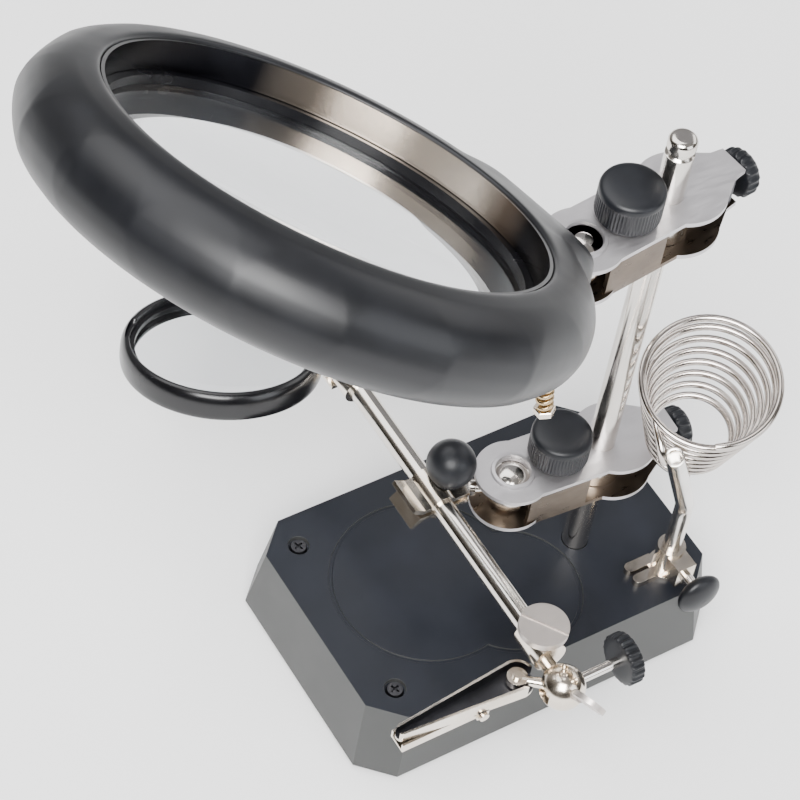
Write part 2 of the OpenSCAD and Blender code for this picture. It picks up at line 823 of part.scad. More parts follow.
module clip_spring() {
    color([0.6, 0.6, 0.62])
        at_clip() translate([-1.7, -clip_pin_back, clip_floor - clip_pin_drop]) rotate([0, 90, 0])
            difference() {
                cylinder(r = 1.22, h = 3.4);
                translate([0, 0, -1]) cylinder(r = 1, h = 6);
            }
}

// ---- large magnifier ---------------------------------------------------------------------------

module magnifier_ball() {
    color([0.8, 0.79, 0.77])
        at_stud()
            difference() {
                union() {
                    sphere(r = ball_r - 0.05, $fn = fine);
                    translate([-stud_len + 2, 0, 0]) rotate([0, 90, 0]) cylinder(r = 2.6, h = stud_len - 4);
                    translate([-stud_len, stud_eye_t / 2, 0]) rotate([90, 0, 0])
                        cylinder(r = stud_eye_r, h = stud_eye_t);
                }
                translate([-stud_len, 20, 0]) rotate([90, 0, 0]) cylinder(r = hinge_r + run, h = 40);
            }
}

module ring_outer() {
    rotate_extrude($fn = fine)
        polygon([
            [view_r, 0], [rim_r - 8, -1.2], [rim_r - 3, -4.5], [rim_r - 0.4, -9.5],
            [rim_r, split_z - 0.5], [rim_r - 1, -19], [rim_r - 4.5, -housing_d + 3],
            [rim_r - 10, -housing_d], [view_r - ledge, -housing_d],
            [view_r - ledge, seat_z], [view_r, seat_z]]);
}

module ring_inner() {
    t = shell_t;
    rotate_extrude($fn = fine)
        polygon([
            [view_r + t, -t - 0.4], [rim_r - 8.6, -t - 1.3], [rim_r - 4.6, -4.5 - t + 0.5],
            [rim_r - t - 0.3, -10], [rim_r - t, split_z - 0.5], [rim_r - t - 1, -18.4],
            [rim_r - 6.2, -housing_d + 4.7], [rim_r - 10.6, -housing_d + t],
            [view_r + t, -housing_d + t]]);
}

// the neck between the ring and the hinge
module neck(inset) {
    low = -housing_d - neck_drop + inset;
    high = -4.6 - inset;
    r = neck_round - inset;
    start = view_r + 1.2 + inset;
    corner = mag_reach - 3.5;
    half = neck_w / 2 - neck_round;
    intersection() {
        translate([0, 0, low])
            linear_extrude(high - low) {
                translate([start, -half - r]) square([corner - start, 2 * (half + r)]);
                translate([start, -half]) square([corner + r - start, 2 * half]);
                for (side = [-1, 1]) translate([corner, side * half]) circle(r = r);
            }
        translate([neck_end - inset, 0, -housing_d + 9.2]) rotate([0, -neck_lean, 0])
            translate([-60, -50, -60]) cube([60, 100, 120]);
    }
}

// the stem's way through the neck, from lowest to highest tilt
module stem_way(half) {
    a0 = mag_pitch - 30;
    a1 = mag_pitch + 26;
    w = 3;
    rotate([90, 0, 0])
        linear_extrude(2 * half, center = true) {
            polygon([
                w * [sin(a0), -cos(a0)], w * [sin(a0), -cos(a0)] + 30 * [cos(a0), sin(a0)],
                w * [-sin(a1), cos(a1)] + 30 * [cos(a1), sin(a1)], w * [-sin(a1), cos(a1)]]);
            circle(r = stud_eye_r + 0.5);
        }
}

// room for the bracket's round end as the housing tilts, in the upright frame of the hinge
module lobe_room() {
    front = stud_len - lobe_r - 1.4;
    tall = plate_out + 3.4;
    near = front * cos(25) - tall * sin(25);
    high = front * sin(25) + tall * cos(25);
    rotate([90, 0, 0])
        linear_extrude(2 * lobe_r + 2.4, center = true)
            polygon([
                [front - 0.2, 0], [near, -high], [near + 14, -high - 8], [near + 40, -high - 20],
                [near + 40, high + 20], [near + 14, high + 8], [near, high]]);
}

module housing() {
    slot = stud_eye_t / 2 + 0.2;
    cheek = 3;
    difference() {
        union() {
            difference() {
                union() {
                    ring_outer();
                    difference() {
                        neck(0);
                        neck(shell_t);
                    }
                }
                ring_inner();
            }
            // the two cheeks of the hinge
            intersection() {
                neck(0.7);
                for (side = [-1, 1])
                    translate([mag_reach - 9, side * (slot + cheek / 2) - cheek / 2, -60])
                        cube([30, cheek, 100]);
            }
        }
        translate([mag_reach, 0, -mag_rise]) {
            stem_way(slot);
            rotate([90, 0, 0]) cylinder(r = hinge_r, h = neck_w - 14, center = true);
            rotate([0, -mag_pitch, 0]) lobe_room();
        }
        translate(tension_at) rotate(tension_turn) translate([0, 0, -8]) cylinder(r = screw_thin + run, h = 20);
    }
}

module magnifier_cover() {
    color([0.1, 0.1, 0.12])
        at_lens() intersection() {
            housing();
            translate([-200, -200, split_z]) cube([400, 400, 40]);
        }
}

module magnifier_body() {
    color([0.08, 0.08, 0.1])
        at_lens() intersection() {
            housing();
            translate([-200, -200, split_z - 100 - 0.05]) cube([400, 400, 100]);
        }
}

module magnifier_lens() {
    color([0.85, 0.9, 0.95, 0.45])
        at_lens() translate([0, 0, seat_z + lens_edge / 2 + lens_lift])
            biconvex(view_r - 0.3, lens_edge, lens_dome);
}

module magnifier_retainer() {
    color([0.1, 0.1, 0.11])
        at_lens() translate([0, 0, seat_z + lens_edge + lens_lift + 0.6])
            difference() {
                cylinder(r = view_r - 0.1, h = 2.6, $fn = fine);
                translate([0, 0, -1]) cylinder(r = view_r - 3.4, h = 5, $fn = fine);
            }
}

module magnifier_liner() {
    color([0.82, 0.76, 0.68])
        at_lens() translate([0, 0, seat_z + lens_edge + lens_lift + 3.4])
            difference() {
                cylinder(r = view_r - 0.1, h = 8, $fn = fine);
                translate([0, 0, -1]) cylinder(r = view_r - 1, h = 10, $fn = fine);
            }
}

module hinge_bolt() {
    color([0.6, 0.6, 0.6])
        at_hinge() rotate([90, 0, 0]) cylinder(r = hinge_r, h = 2 * (stud_eye_t / 2 + 3.4), center = true);
}

tension_at = [mag_reach + 1.9, -14.9, -housing_d - neck_drop - 0.1];
tension_turn = [-6.8, 143.9, 0];
tension_len = 32;
screw_thin = 1.2;

// a screw through the neck's floor, with the spring that loads it
module tension_screw() {
    wire = 0.7;
    pitch = 2.4;
    color([0.72, 0.64, 0.5])
        at_lens() translate(tension_at) rotate(tension_turn) {
            translate([0, 0, -5]) cylinder(r = screw_thin, h = tension_len + 5);
            for (i = [0 : 10])
                translate([0, 0, 3.4 + pitch * i])
                    rotate_extrude() translate([screw_thin + wire - 0.1, 0]) circle(r = wire, $fn = 16);
            translate([0, 0, tension_len - 2.4]) cylinder(r = 3, h = 2.2, $fn = 6);
        }
}

// ---- iron rest -----------------------------------------------------------------------------------

collar_out = holder_rod_r + 1.5;

module rest_collar() {
    color([0.8, 0.76, 0.7])
        translate([holder_x, holder_y, base_h])
            difference() {
                union() {
                    cylinder(r = collar_out + 1.4, h = 1.4);
                    cylinder(r = collar_out, h = 11, $fn = fine);
                    translate([0, -3.2, 2]) cube([collar_out + 4.5, 6.4, 8]);
                    for (side = [-1, 1])
                        translate([side * 2.3 - 1.3 - 1, -collar_out - 7, 0])
                            linear_extrude(2.4) {
                                translate([1.3, 0]) circle(r = 1.7);
                                translate([-0.4, 0]) square([3.4, 8]);
                            }
                }
                translate([0, 0, 1.6]) cylinder(r = holder_rod_r + run, h = 20);
                translate([0, 0, 6]) rotate([0, 90, 0]) cylinder(r = 1.8 + run, h = 20);
            }
}

module rest_screw() {
    color([0.8, 0.8, 0.78])
        translate([holder_x + holder_rod_r + 0.15, holder_y, base_h + 6]) rotate([0, 90, 0])
            cylinder(r = 1.8, h = 14);
}

module rest_knob() {
    half = 7.4;
    color([0.08, 0.09, 0.1])
        translate([holder_x + holder_rod_r + 10.4, holder_y, base_h + 6]) rotate([0, 90, 0])
            difference() {
                rotate_extrude($fn = fine)
                    polygon([
                        [0, 0], [half - 2.6, 0], [half - 0.5, 1.6], [half, 2.8], [half - 0.6, 4],
                        [half - 2.4, 5.2], [half - 4.8, 6], [0, 6.2]]);
                translate([0, 0, -1]) cylinder(r = 1.8, h = 4.9);
            }
}

module rest_rod() {
    foot = [holder_x, holder_y, base_h + 1.8];
    bend = [holder_x, holder_y, holder_bend_z];
    color([0.72, 0.7, 0.68])
        difference() {
            union() {
                bar(foot, bend, holder_rod_r);
                translate(bend) sphere(r = holder_rod_r + 0.06);
                bar(bend, holder_top, holder_rod_r);
            }
            bar(mix(bend, holder_top, 0.86), mix(bend, holder_top, 1.1), holder_rod_r - 0.8);
        }
}

module at_coil() { translate(coil_mouth) rotate(coil_lean) children(); }

// the first turn lies close under the mouth, the others are evenly spread
function coil_drop(n) = n < 1 ? 1.25 * coil_wire * n
    : mix(1.25 * coil_wire, coil_len, (n - 1) / (coil_turns - 1));
function coil_r(drop) = mix(coil_mouth_d, coil_end_d, drop / coil_len) / 2 - coil_wire / 2;
function coil_point(n) = let (drop = coil_drop(n), a = coil_start + 360 * n)
    [coil_r(drop) * cos(a), coil_r(drop) * sin(a), -drop];

// one ring of the wire's skin, square to the coil's run
function wire_ring(p, d, r, n) =
    let (u = d / norm(d), s = cross([0, 0, 1], u), a = s / norm(s), b = cross(u, a))
    [for (i = [0 : n - 1]) p + r * (cos(360 * i / n) * a + sin(360 * i / n) * b)];

module rest_coil() {
    sides = 6;
    per_turn = 16;
    steps = per_turn * coil_turns;
    path = [for (i = [0 : steps]) coil_point(i / per_turn)];
    rings = [for (i = [0 : steps])
        wire_ring(path[i], path[min(i + 1, steps)] - path[max(i - 1, 0)], coil_wire / 2, sides)];
    points = [for (ring = rings) for (p = ring) p];
    walls = [for (i = [0 : steps - 1]) for (j = [0 : sides - 1])
        let (a = i * sides + j, b = i * sides + (j + 1) % sides)
        [a, a + sides, b + sides, b]];
    ends = [
        [for (j = [0 : sides - 1]) j],
        [for (j = [sides - 1 : -1 : 0]) steps * sides + j]];
    color([0.72, 0.68, 0.64]) {
        at_coil() polyhedron(points, concat(walls, ends), convexity = 20);
        coil_tail();
    }
}

// the tail comes down from the mouth and is welded to the side of the rod's top
module coil_tail() {
    r = coil_mouth_d / 2 - coil_wire / 2;
    foot_line = [holder_x, holder_y, holder_bend_z];
    difference() {
        union() {
            hull() {
                at_coil() translate([r * cos(tail_start), r * sin(tail_start),
                    -coil_drop(1 + (tail_start - coil_start) / 360)]) sphere(r = 1, $fn = 12);
                translate(tail_foot) sphere(r = 1.5, $fn = 12);
            }
            hull() {
                translate(tail_foot) sphere(r = 1.5, $fn = 12);
                translate(mix(tail_foot, holder_top, 0.5)) sphere(r = 1.5, $fn = 12);
            }
        }
        bar(foot_line, mix(foot_line, holder_top, 1.2), holder_rod_r);
    }
}

base_casing();
bottom_plate();
ballast();
casing_screws();
feet();
post();
post_nut();
color(plate_colour) at_lower() bracket_top();  // lower_top_plate
color(plate_colour) at_lower() bracket_bottom();  // lower_bottom_plate
color(steel_colour) at_lower() bracket_collar();  // lower_collar
color(steel_colour) at_lower() bracket_tip_nut();  // lower_tip_nut
color(black_colour) at_lower() bracket_knob();  // lower_knob
color(steel_colour) at_lower() bracket_bolt();  // lower_bolt
color(steel_colour) at_lower() bracket_bolt_nut();  // lower_bolt_nut
color(steel_colour) at_lower() bracket_end_screw();  // lower_end_screw
color(black_colour) at_lower() bracket_end_knob();  // lower_end_knob
color(plate_colour) at_upper() bracket_top();  // upper_top_plate
color(plate_colour) at_upper() bracket_bottom();  // upper_bottom_plate
color(steel_colour) at_upper() bracket_collar();  // upper_collar
color(steel_colour) at_upper() bracket_tip_nut();  // upper_tip_nut
color(black_colour) at_upper() bracket_knob();  // upper_knob
color(steel_colour) at_upper() bracket_bolt();  // upper_bolt
color(steel_colour) at_upper() bracket_bolt_nut();  // upper_bolt_nut
color(steel_colour) at_upper() bracket_end_screw();  // upper_end_screw
color(black_colour) at_upper() bracket_end_knob();  // upper_end_knob
arm_ball();
arm_upper_jaw();
arm_lower_jaw();
arm_bolt();
arm_ball_knob();
cross_rod();
rod_sleeve();
lens_knuckle();
small_frame();
small_lens();
small_retainer();
end_block();
block_screw();
ball_socket();
socket_screw();
socket_knob();
paddle_screw();
clip_ball();
clip_upper_jaw();
clip_lower_jaw();
clip_pin();
clip_spring();
magnifier_ball();
magnifier_cover();
magnifier_body();
magnifier_lens();
magnifier_retainer();
magnifier_liner();
hinge_bolt();
tension_screw();
rest_collar();
rest_screw();
rest_knob();
rest_rod();
rest_coil();
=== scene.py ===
import json
import bpy, bmesh
import numpy as np
from mathutils import Matrix


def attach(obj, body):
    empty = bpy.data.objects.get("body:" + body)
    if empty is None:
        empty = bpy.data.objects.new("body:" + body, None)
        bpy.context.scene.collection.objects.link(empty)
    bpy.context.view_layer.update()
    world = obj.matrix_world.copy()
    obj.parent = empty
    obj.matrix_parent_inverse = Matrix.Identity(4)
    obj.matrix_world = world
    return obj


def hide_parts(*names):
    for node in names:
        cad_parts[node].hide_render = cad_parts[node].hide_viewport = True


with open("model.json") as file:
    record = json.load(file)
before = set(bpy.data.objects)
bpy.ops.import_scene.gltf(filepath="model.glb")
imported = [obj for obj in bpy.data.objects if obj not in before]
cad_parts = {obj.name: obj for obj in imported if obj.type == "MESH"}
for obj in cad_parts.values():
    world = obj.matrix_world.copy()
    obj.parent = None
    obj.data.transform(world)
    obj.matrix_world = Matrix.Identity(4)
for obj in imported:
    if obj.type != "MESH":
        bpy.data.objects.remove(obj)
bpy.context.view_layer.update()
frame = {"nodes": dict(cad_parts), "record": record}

mm = 0.001
nodes = frame["nodes"]
bodyOf = {node: body for body, members in frame["record"]["behaviour"]["bodies"].items() for node in members}
print("frame loaded:", len(nodes), "nodes")


# places, in millimetres

def turned(x, y, z):
    # a turn about X, then Y, then Z, in degrees
    a, b, c = np.radians([x, y, z])
    rx = np.array([[1, 0, 0], [0, np.cos(a), -np.sin(a)], [0, np.sin(a), np.cos(a)]])
    ry = np.array([[np.cos(b), 0, np.sin(b)], [0, 1, 0], [-np.sin(b), 0, np.cos(b)]])
    rz = np.array([[np.cos(c), -np.sin(c), 0], [np.sin(c), np.cos(c), 0], [0, 0, 1]])
    return rz @ ry @ rx


class Place:
    # a turn and an origin that local points are carried through
    def __init__(self, origin=(0, 0, 0), turn=None):
        self.origin = np.array(origin, float)
        self.turn = np.eye(3) if turn is None else turn

    def put(self, points):
        return np.asarray(points, float) @ self.turn.T + self.origin

    def then(self, origin=(0, 0, 0), turn=None):
        inner = np.eye(3) if turn is None else turn
        return Place(self.put(origin), self.turn @ inner)


# meshes

def addMesh(name, points, faces, body, finish, sharpAngle=32, replaced=(), slot=None):
    # points in millimetres; doubles and poles are merged and the faces turned outwards
    mesh = bpy.data.meshes.new(name)
    mesh.from_pydata((np.asarray(points) * mm).tolist(), [], faces.tolist())
    work = bmesh.new()
    work.from_mesh(mesh)
    bmesh.ops.remove_doubles(work, verts=work.verts, dist=2e-7)
    bmesh.ops.dissolve_degenerate(work, edges=work.edges, dist=1e-8)
    bmesh.ops.recalc_face_normals(work, faces=work.faces)
    work.to_mesh(mesh)
    work.free()
    return place(name, mesh, body, finish, sharpAngle, replaced)


def place(name, mesh, body, finish, sharpAngle=32, replaced=()):
    mesh.polygons.foreach_set("use_smooth", np.ones(len(mesh.polygons), bool))
    mesh.set_sharp_from_angle(angle=np.radians(sharpAngle))
    mesh.materials.clear()
    mesh.materials.append(finish)
    piece = bpy.data.objects.new(name, mesh)
    bpy.context.scene.collection.objects.link(piece)
    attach(piece, body)
    if replaced:
        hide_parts(*replaced)
    return piece


def gridFaces(rows, columns, wrapRows):
    # quads between neighbouring rings; the columns always run round
    count = rows if wrapRows else rows - 1
    i = np.arange(count)[:, None]
    j = np.arange(columns)[None, :]
    k, m = (i + 1) % rows, (j + 1) % columns
    return np.stack([i * columns + j, i * columns + m, k * columns + m, k * columns + j], -1).reshape(-1, 4)


def ringShell(name, rings, body, finish, wrapRows=False, **more):
    # rings: rows x columns x 3; open ends are closed by a fan onto the ring's middle
    if not wrapRows:
        first = np.broadcast_to(rings[0].mean(0), rings[0].shape)
        last = np.broadcast_to(rings[-1].mean(0), rings[-1].shape)
        rings = np.concatenate([first[None], rings, last[None]])
    faces = gridFaces(rings.shape[0], rings.shape[1], wrapRows)
    return addMesh(name, rings.reshape(-1, 3), faces, body, finish, **more)


def softened(points, times=3, closed=False):
    # corner cutting: each corner is replaced by points at 1/4 and 3/4 of its two sides
    p = np.asarray(points, float)
    for _ in range(times):
        q = np.roll(p, -1, axis=0) if closed else p[1:]
        s = p if closed else p[:-1]
        cut = np.stack([0.75 * s + 0.25 * q, 0.25 * s + 0.75 * q], 1).reshape(-1, *p.shape[1:])
        p = cut if closed else np.concatenate([p[:1], cut, p[-1:]])
    return p


def revolved(profile, sides=96, flutes=0, depth=0.0, band=None, share=1.0):
    # r(z) carried round Z; flutes take depth * (1 - cos(n a)) / 2 off r where z lies in the band
    r, z = profile[:, 0][:, None], profile[:, 1][:, None]
    a = np.linspace(0, 2 * np.pi, sides, endpoint=False)[None, :]
    r = np.repeat(r, sides, 1)
    if flutes:
        wave = np.clip((1 - np.cos(flutes * a)) / 2 / share, 0, 1)
        low, high = band
        fade = np.clip((z - low) / 0.5, 0, 1) * np.clip((high - z) / 0.5, 0, 1)
        r = r - depth * wave * fade * (r > 0.5)
    return np.stack([r * np.cos(a), r * np.sin(a), np.repeat(z, sides, 1)], -1)


def tube(path, radius, sides=14, up=(0, 0, 1)):
    # a circle square to the path at each of its points
    along = np.gradient(path, axis=0)
    along /= np.linalg.norm(along, axis=1, keepdims=True)
    side = np.cross(np.array(up, float), along)
    side /= np.linalg.norm(side, axis=1, keepdims=True)
    top = np.cross(along, side)
    a = np.linspace(0, 2 * np.pi, sides, endpoint=False)
    radius = np.broadcast_to(radius, (len(path),))[:, None, None]
    c, s = np.cos(a)[None, :, None], np.sin(a)[None, :, None]
    return path[:, None] + radius * (c * side[:, None] + s * top[:, None])


def eased(node, finish, width, name=None, segments=2, angle=32, sharp=30, faceFinish=None):
    # the solid's own shape, merged into clean faces, with its edges broken by a small round
    mesh = nodes[node].data.copy()
    work = bmesh.new()
    work.from_mesh(mesh)
    bmesh.ops.remove_doubles(work, verts=work.verts, dist=2e-6)
    bmesh.ops.dissolve_limit(work, angle_limit=np.radians(1.0), verts=work.verts, edges=work.edges)
    work.to_mesh(mesh)
    work.free()
    for attribute in ("custom_normal", "sharp_face"):
        if attribute in mesh.attributes:
            mesh.attributes.remove(mesh.attributes[attribute])
    piece = place(name or node + "_eased", mesh, bodyOf[node], finish, sharp, (node,))
    if faceFinish:
        other, test = faceFinish
        mesh.materials.append(other)
        normals = np.zeros(len(mesh.polygons) * 3)
        centres = np.zeros(len(mesh.polygons) * 3)
        mesh.polygons.foreach_get("normal", normals)
        mesh.polygons.foreach_get("center", centres)
        chosen = test(normals.reshape(-1, 3), centres.reshape(-1, 3) / mm)
        mesh.polygons.foreach_set("material_index", chosen.astype(np.int32))
    bevel = piece.modifiers.new("edge", "BEVEL")
    bevel.width = width * mm
    bevel.segments = segments
    bevel.limit_method = "ANGLE"
    bevel.angle_limit = np.radians(angle)
    bevel.harden_normals = True
    bevel.miter_outer = "MITER_ARC"
    return piece


# shared effects

def newGroup(name, inputs, outputs):
    group = bpy.data.node_groups.new(name, "ShaderNodeTree")
    for title, kind, value in inputs:
        group.interface.new_socket(title, in_out="INPUT", socket_type=kind).default_value = value
    for title, kind in outputs:
        group.interface.new_socket(title, in_out="OUTPUT", socket_type=kind)
    return group, group.nodes.new("NodeGroupInput"), group.nodes.new("NodeGroupOutput")


def makeGrain():
    # fine moulded grain: two noises, small pits over a slow unevenness
    group, given, out = newGroup("mouldedGrain",
        [("Scale", "NodeSocketFloat", 2500.0), ("Slow", "NodeSocketFloat", 90.0)],
        [("Height", "NodeSocketFloat"), ("Patch", "NodeSocketFloat")])
    link = group.links.new
    coord = group.nodes.new("ShaderNodeTexCoord")
    fine = group.nodes.new("ShaderNodeTexNoise")
    slow = group.nodes.new("ShaderNodeTexNoise")
    fine.inputs["Detail"].default_value = 2
    slow.inputs["Detail"].default_value = 3
    for noise, source in ((fine, "Scale"), (slow, "Slow")):
        link(coord.outputs["Object"], noise.inputs["Vector"])
        link(given.outputs[source], noise.inputs["Scale"])
    total = group.nodes.new("ShaderNodeMath")
    total.operation = "MULTIPLY_ADD"
    total.inputs[1].default_value = 0.6
    link(fine.outputs["Fac"], total.inputs[0])
    link(slow.outputs["Fac"], total.inputs[2])
    link(total.outputs[0], out.inputs["Height"])
    link(slow.outputs["Fac"], out.inputs["Patch"])
    return group


def makeBrushed():
    # drawn or polished metal: noise stretched along one axis, with a cloudy tarnish
    group, given, out = newGroup("brushedMetal",
        [("Stretch", "NodeSocketVector", (1, 1, 1)), ("Scale", "NodeSocketFloat", 900.0),
         ("Cloud", "NodeSocketFloat", 60.0)],
        [("Lines", "NodeSocketFloat"), ("Tarnish", "NodeSocketFloat")])
    link = group.links.new
    coord = group.nodes.new("ShaderNodeTexCoord")
    scaled = group.nodes.new("ShaderNodeVectorMath")
    scaled.operation = "MULTIPLY"
    link(coord.outputs["Object"], scaled.inputs[0])
    link(given.outputs["Stretch"], scaled.inputs[1])
    lines = group.nodes.new("ShaderNodeTexNoise")
    cloud = group.nodes.new("ShaderNodeTexNoise")
    lines.inputs["Detail"].default_value = 4
    cloud.inputs["Detail"].default_value = 4
    link(scaled.outputs[0], lines.inputs["Vector"])
    link(given.outputs["Scale"], lines.inputs["Scale"])
    link(coord.outputs["Object"], cloud.inputs["Vector"])
    link(given.outputs["Cloud"], cloud.inputs["Scale"])
    link(lines.outputs["Fac"], out.inputs["Lines"])
    link(cloud.outputs["Fac"], out.inputs["Tarnish"])
    return group


grainGroup = makeGrain()
brushedGroup = makeBrushed()


def startMaterial(name):
    material = bpy.data.materials.new(name)
    material.use_nodes = True
    tree = material.node_tree
    return material, tree, tree.nodes["Principled BSDF"]


def ramp(tree, source, low, high, colours):
    node = tree.nodes.new("ShaderNodeValToRGB")
    node.color_ramp.elements[0].position = low
    node.color_ramp.elements[1].position = high
    node.color_ramp.elements[0].color = (*colours[0], 1)
    node.color_ramp.elements[1].color = (*colours[1], 1)
    tree.links.new(source, node.inputs["Fac"])
    return node.outputs["Color"]


def spread(tree, source, low, high):
    node = tree.nodes.new("ShaderNodeMapRange")
    node.inputs["From Min"].default_value = 0.3
    node.inputs["From Max"].default_value = 0.7
    node.inputs["To Min"].default_value = low
    node.inputs["To Max"].default_value = high
    tree.links.new(source, node.inputs["Value"])
    return node.outputs["Result"]


def bumped(tree, shader, source, strength, distance):
    node = tree.nodes.new("ShaderNodeBump")
    node.inputs["Strength"].default_value = strength
    node.inputs["Distance"].default_value = distance * mm
    tree.links.new(source, node.inputs["Height"])
    tree.links.new(node.outputs["Normal"], shader.inputs["Normal"])


def plastic(name, dark, light, rough, grain=2500.0, strength=0.25, coat=0.0, specular=0.5, slow=90.0):
    material, tree, shader = startMaterial(name)
    grainNode = tree.nodes.new("ShaderNodeGroup")
    grainNode.node_tree = grainGroup
    grainNode.inputs["Scale"].default_value = grain
    grainNode.inputs["Slow"].default_value = slow
    tree.links.new(ramp(tree, grainNode.outputs["Patch"], 0.3, 0.7, (dark, light)), shader.inputs["Base Color"])
    tree.links.new(spread(tree, grainNode.outputs["Patch"], rough[0], rough[1]), shader.inputs["Roughness"])
    bumped(tree, shader, grainNode.outputs["Height"], strength, 0.05)
    shader.inputs["Coat Weight"].default_value = coat
    shader.inputs["Coat Roughness"].default_value = 0.25
    shader.inputs["Specular IOR Level"].default_value = specular
    return material


def metal(name, dark, light, rough, stretch=(1, 1, 1), scale=900.0, strength=0.15, cloud=60.0, metallic=1.0):
    material, tree, shader = startMaterial(name)
    brushed = tree.nodes.new("ShaderNodeGroup")
    brushed.node_tree = brushedGroup
    brushed.inputs["Stretch"].default_value = stretch
    brushed.inputs["Scale"].default_value = scale
    brushed.inputs["Cloud"].default_value = cloud
    shader.inputs["Metallic"].default_value = metallic
    tree.links.new(ramp(tree, brushed.outputs["Tarnish"], 0.3, 0.7, (dark, light)), shader.inputs["Base Color"])
    tree.links.new(spread(tree, brushed.outputs["Lines"], rough[0], rough[1]), shader.inputs["Roughness"])
    bumped(tree, shader, brushed.outputs["Lines"], strength, 0.02)
    return material


# one casing plastic in two copies: a darker one for the top faces as painted shade, and a lighter one for the
# side faces as painted light
baseTop = plastic("baseTop", (0.008, 0.0095, 0.014), (0.011, 0.013, 0.019),
    (0.42, 0.5), 1800, 0.2, specular=0.3)
baseSide = plastic("baseSide", (0.042, 0.043, 0.042), (0.052, 0.053, 0.052),
    (0.45, 0.55), 1800, 0.2, specular=0.4)
housingBlack = plastic("housingBlack", (0.0035, 0.0038, 0.005), (0.006, 0.0065, 0.0085),
    (0.36, 0.42), 2600, 0.08, specular=0.4)
frameBlack = plastic("frameBlack", (0.003, 0.003, 0.004), (0.005, 0.005, 0.006),
    (0.22, 0.28), 2600, 0.05, 0.2, 0.4)
knobBlack = plastic("knobBlack", (0.004, 0.0045, 0.006), (0.007, 0.008, 0.011),
    (0.36, 0.46), 2200, 0.2, specular=0.35)
rubber = plastic("rubber", (0.012, 0.012, 0.012), (0.02, 0.02, 0.02), (0.75, 0.85), 1500, 0.4)
plateSteel = metal("plateSteel", (0.50, 0.485, 0.495), (0.58, 0.56, 0.575),
    (0.36, 0.5), (1, 0.12, 1), 1400, 0.2, metallic=0.9)
# painted shade: a dark brown steel for the plate faces between the two plates, where shadow and a dark reflection
# fall
stripSteel = metal("stripSteel", (0.10, 0.080, 0.062), (0.17, 0.135, 0.105),
    (0.25, 0.4), (1, 0.3, 1), 700, 0.1)
nickelUp = metal("nickelUp", (0.62, 0.58, 0.53), (0.74, 0.71, 0.67),
    (0.10, 0.22), (1, 1, 0.03), 500, 0.1)
nickelAcross = metal("nickelAcross", (0.62, 0.58, 0.53), (0.74, 0.71, 0.67),
    (0.10, 0.22), (0.03, 1, 1), 500, 0.1)
warmNickel = metal("warmNickel", (0.66, 0.58, 0.48), (0.82, 0.76, 0.68),
    (0.14, 0.26), (1, 1, 1), 300, 0.1)
satinNickel = metal("satinNickel", (0.46, 0.42, 0.39), (0.58, 0.53, 0.50),
    (0.34, 0.46), (1, 0.1, 1), 1400, 0.15, metallic=0.9)
ironCast = metal("ironCast", (0.08, 0.08, 0.085), (0.14, 0.14, 0.145),
    (0.5, 0.7), (1, 1, 1), 400, 0.4, metallic=0.8)
darkSteel = metal("darkSteel", (0.05, 0.05, 0.055), (0.09, 0.09, 0.10),
    (0.3, 0.45), (1, 1, 1), 800, 0.15)
wireSteel = metal("wireSteel", (0.40, 0.36, 0.33), (0.66, 0.61, 0.57),
    (0.12, 0.24), (1, 1, 1), 250, 0.1, 45)
springBrass = metal("springBrass", (0.42, 0.30, 0.16), (0.60, 0.46, 0.28),
    (0.2, 0.35), (1, 1, 1), 500, 0.1)


def makeGlass(name, tint):
    material, tree, shader = startMaterial(name)
    shader.inputs["Base Color"].default_value = (*tint, 1)
    shader.inputs["Roughness"].default_value = 0.0
    shader.inputs["IOR"].default_value = 1.12
    shader.inputs["Transmission Weight"].default_value = 1.0
    shader.inputs["Coat Weight"].default_value = 1.0
    shader.inputs["Coat Roughness"].default_value = 0.02
    coord = tree.nodes.new("ShaderNodeTexCoord")
    noise = tree.nodes.new("ShaderNodeTexNoise")
    noise.inputs["Scale"].default_value = 14
    tree.links.new(coord.outputs["Object"], noise.inputs["Vector"])
    bumped(tree, shader, noise.outputs["Fac"], 0.02, 0.4)
    return material


lensGlass = makeGlass("lensGlass", (0.96, 0.98, 1.0))
print("materials ready:", len(bpy.data.materials))


# the base

# faces turned sideways take the lighter copy, which is painted light by the way they face
def isLitSide(normals, centres):
    return normals[:, 2] < 0.7


base = {"edgeRound": 0.9}
eased("base_casing", baseTop, base["edgeRound"], "baseCasing", 3,
    faceFinish=(baseSide, isLitSide))
eased("casing_screws", darkSteel, 0.12, "casingScrews")
eased("feet", rubber, 0.4, "baseFeet")

# the two brackets

def bracket(level, middle):
    strip = {"half": 5.65}

    # faces inside the gap between the plates take the painted-shade steel
    def inShadedGap(normals, centres):
        return np.abs(centres[:, 2] - middle) < strip["half"]

    for part in ("top", "bottom"):
        node = f"{level}_{part}_plate"
        eased(node, plateSteel, 0.42, level + part.capitalize() + "Plate", 3,
            faceFinish=(stripSteel, inShadedGap))
    eased(level + "_collar", nickelUp, 0.3, level + "Collar")
    eased(level + "_tip_nut", darkSteel, 0.3, level + "TipNut")
    eased(level + "_bolt", nickelUp, 0.2, level + "Bolt")
    eased(level + "_bolt_nut", nickelUp, 0.3, level + "BoltNut")


for level, middle in (("lower", 70), ("upper", 177)):
    bracket(level, middle)
print("base and brackets done")

# the knobs

clampKnob = {"radius": 9, "height": 11, "flutes": 60, "fluteDepth": 0.16}
endKnob = {"radius": 7, "height": 5.5, "flutes": 18, "fluteDepth": 0.55}
brackets = {
    "lower": Place((7, 27.5, 70), turned(0, 0, -4)),
    "upper": Place((7, 27.5, 177), turned(0, 0, 7))}


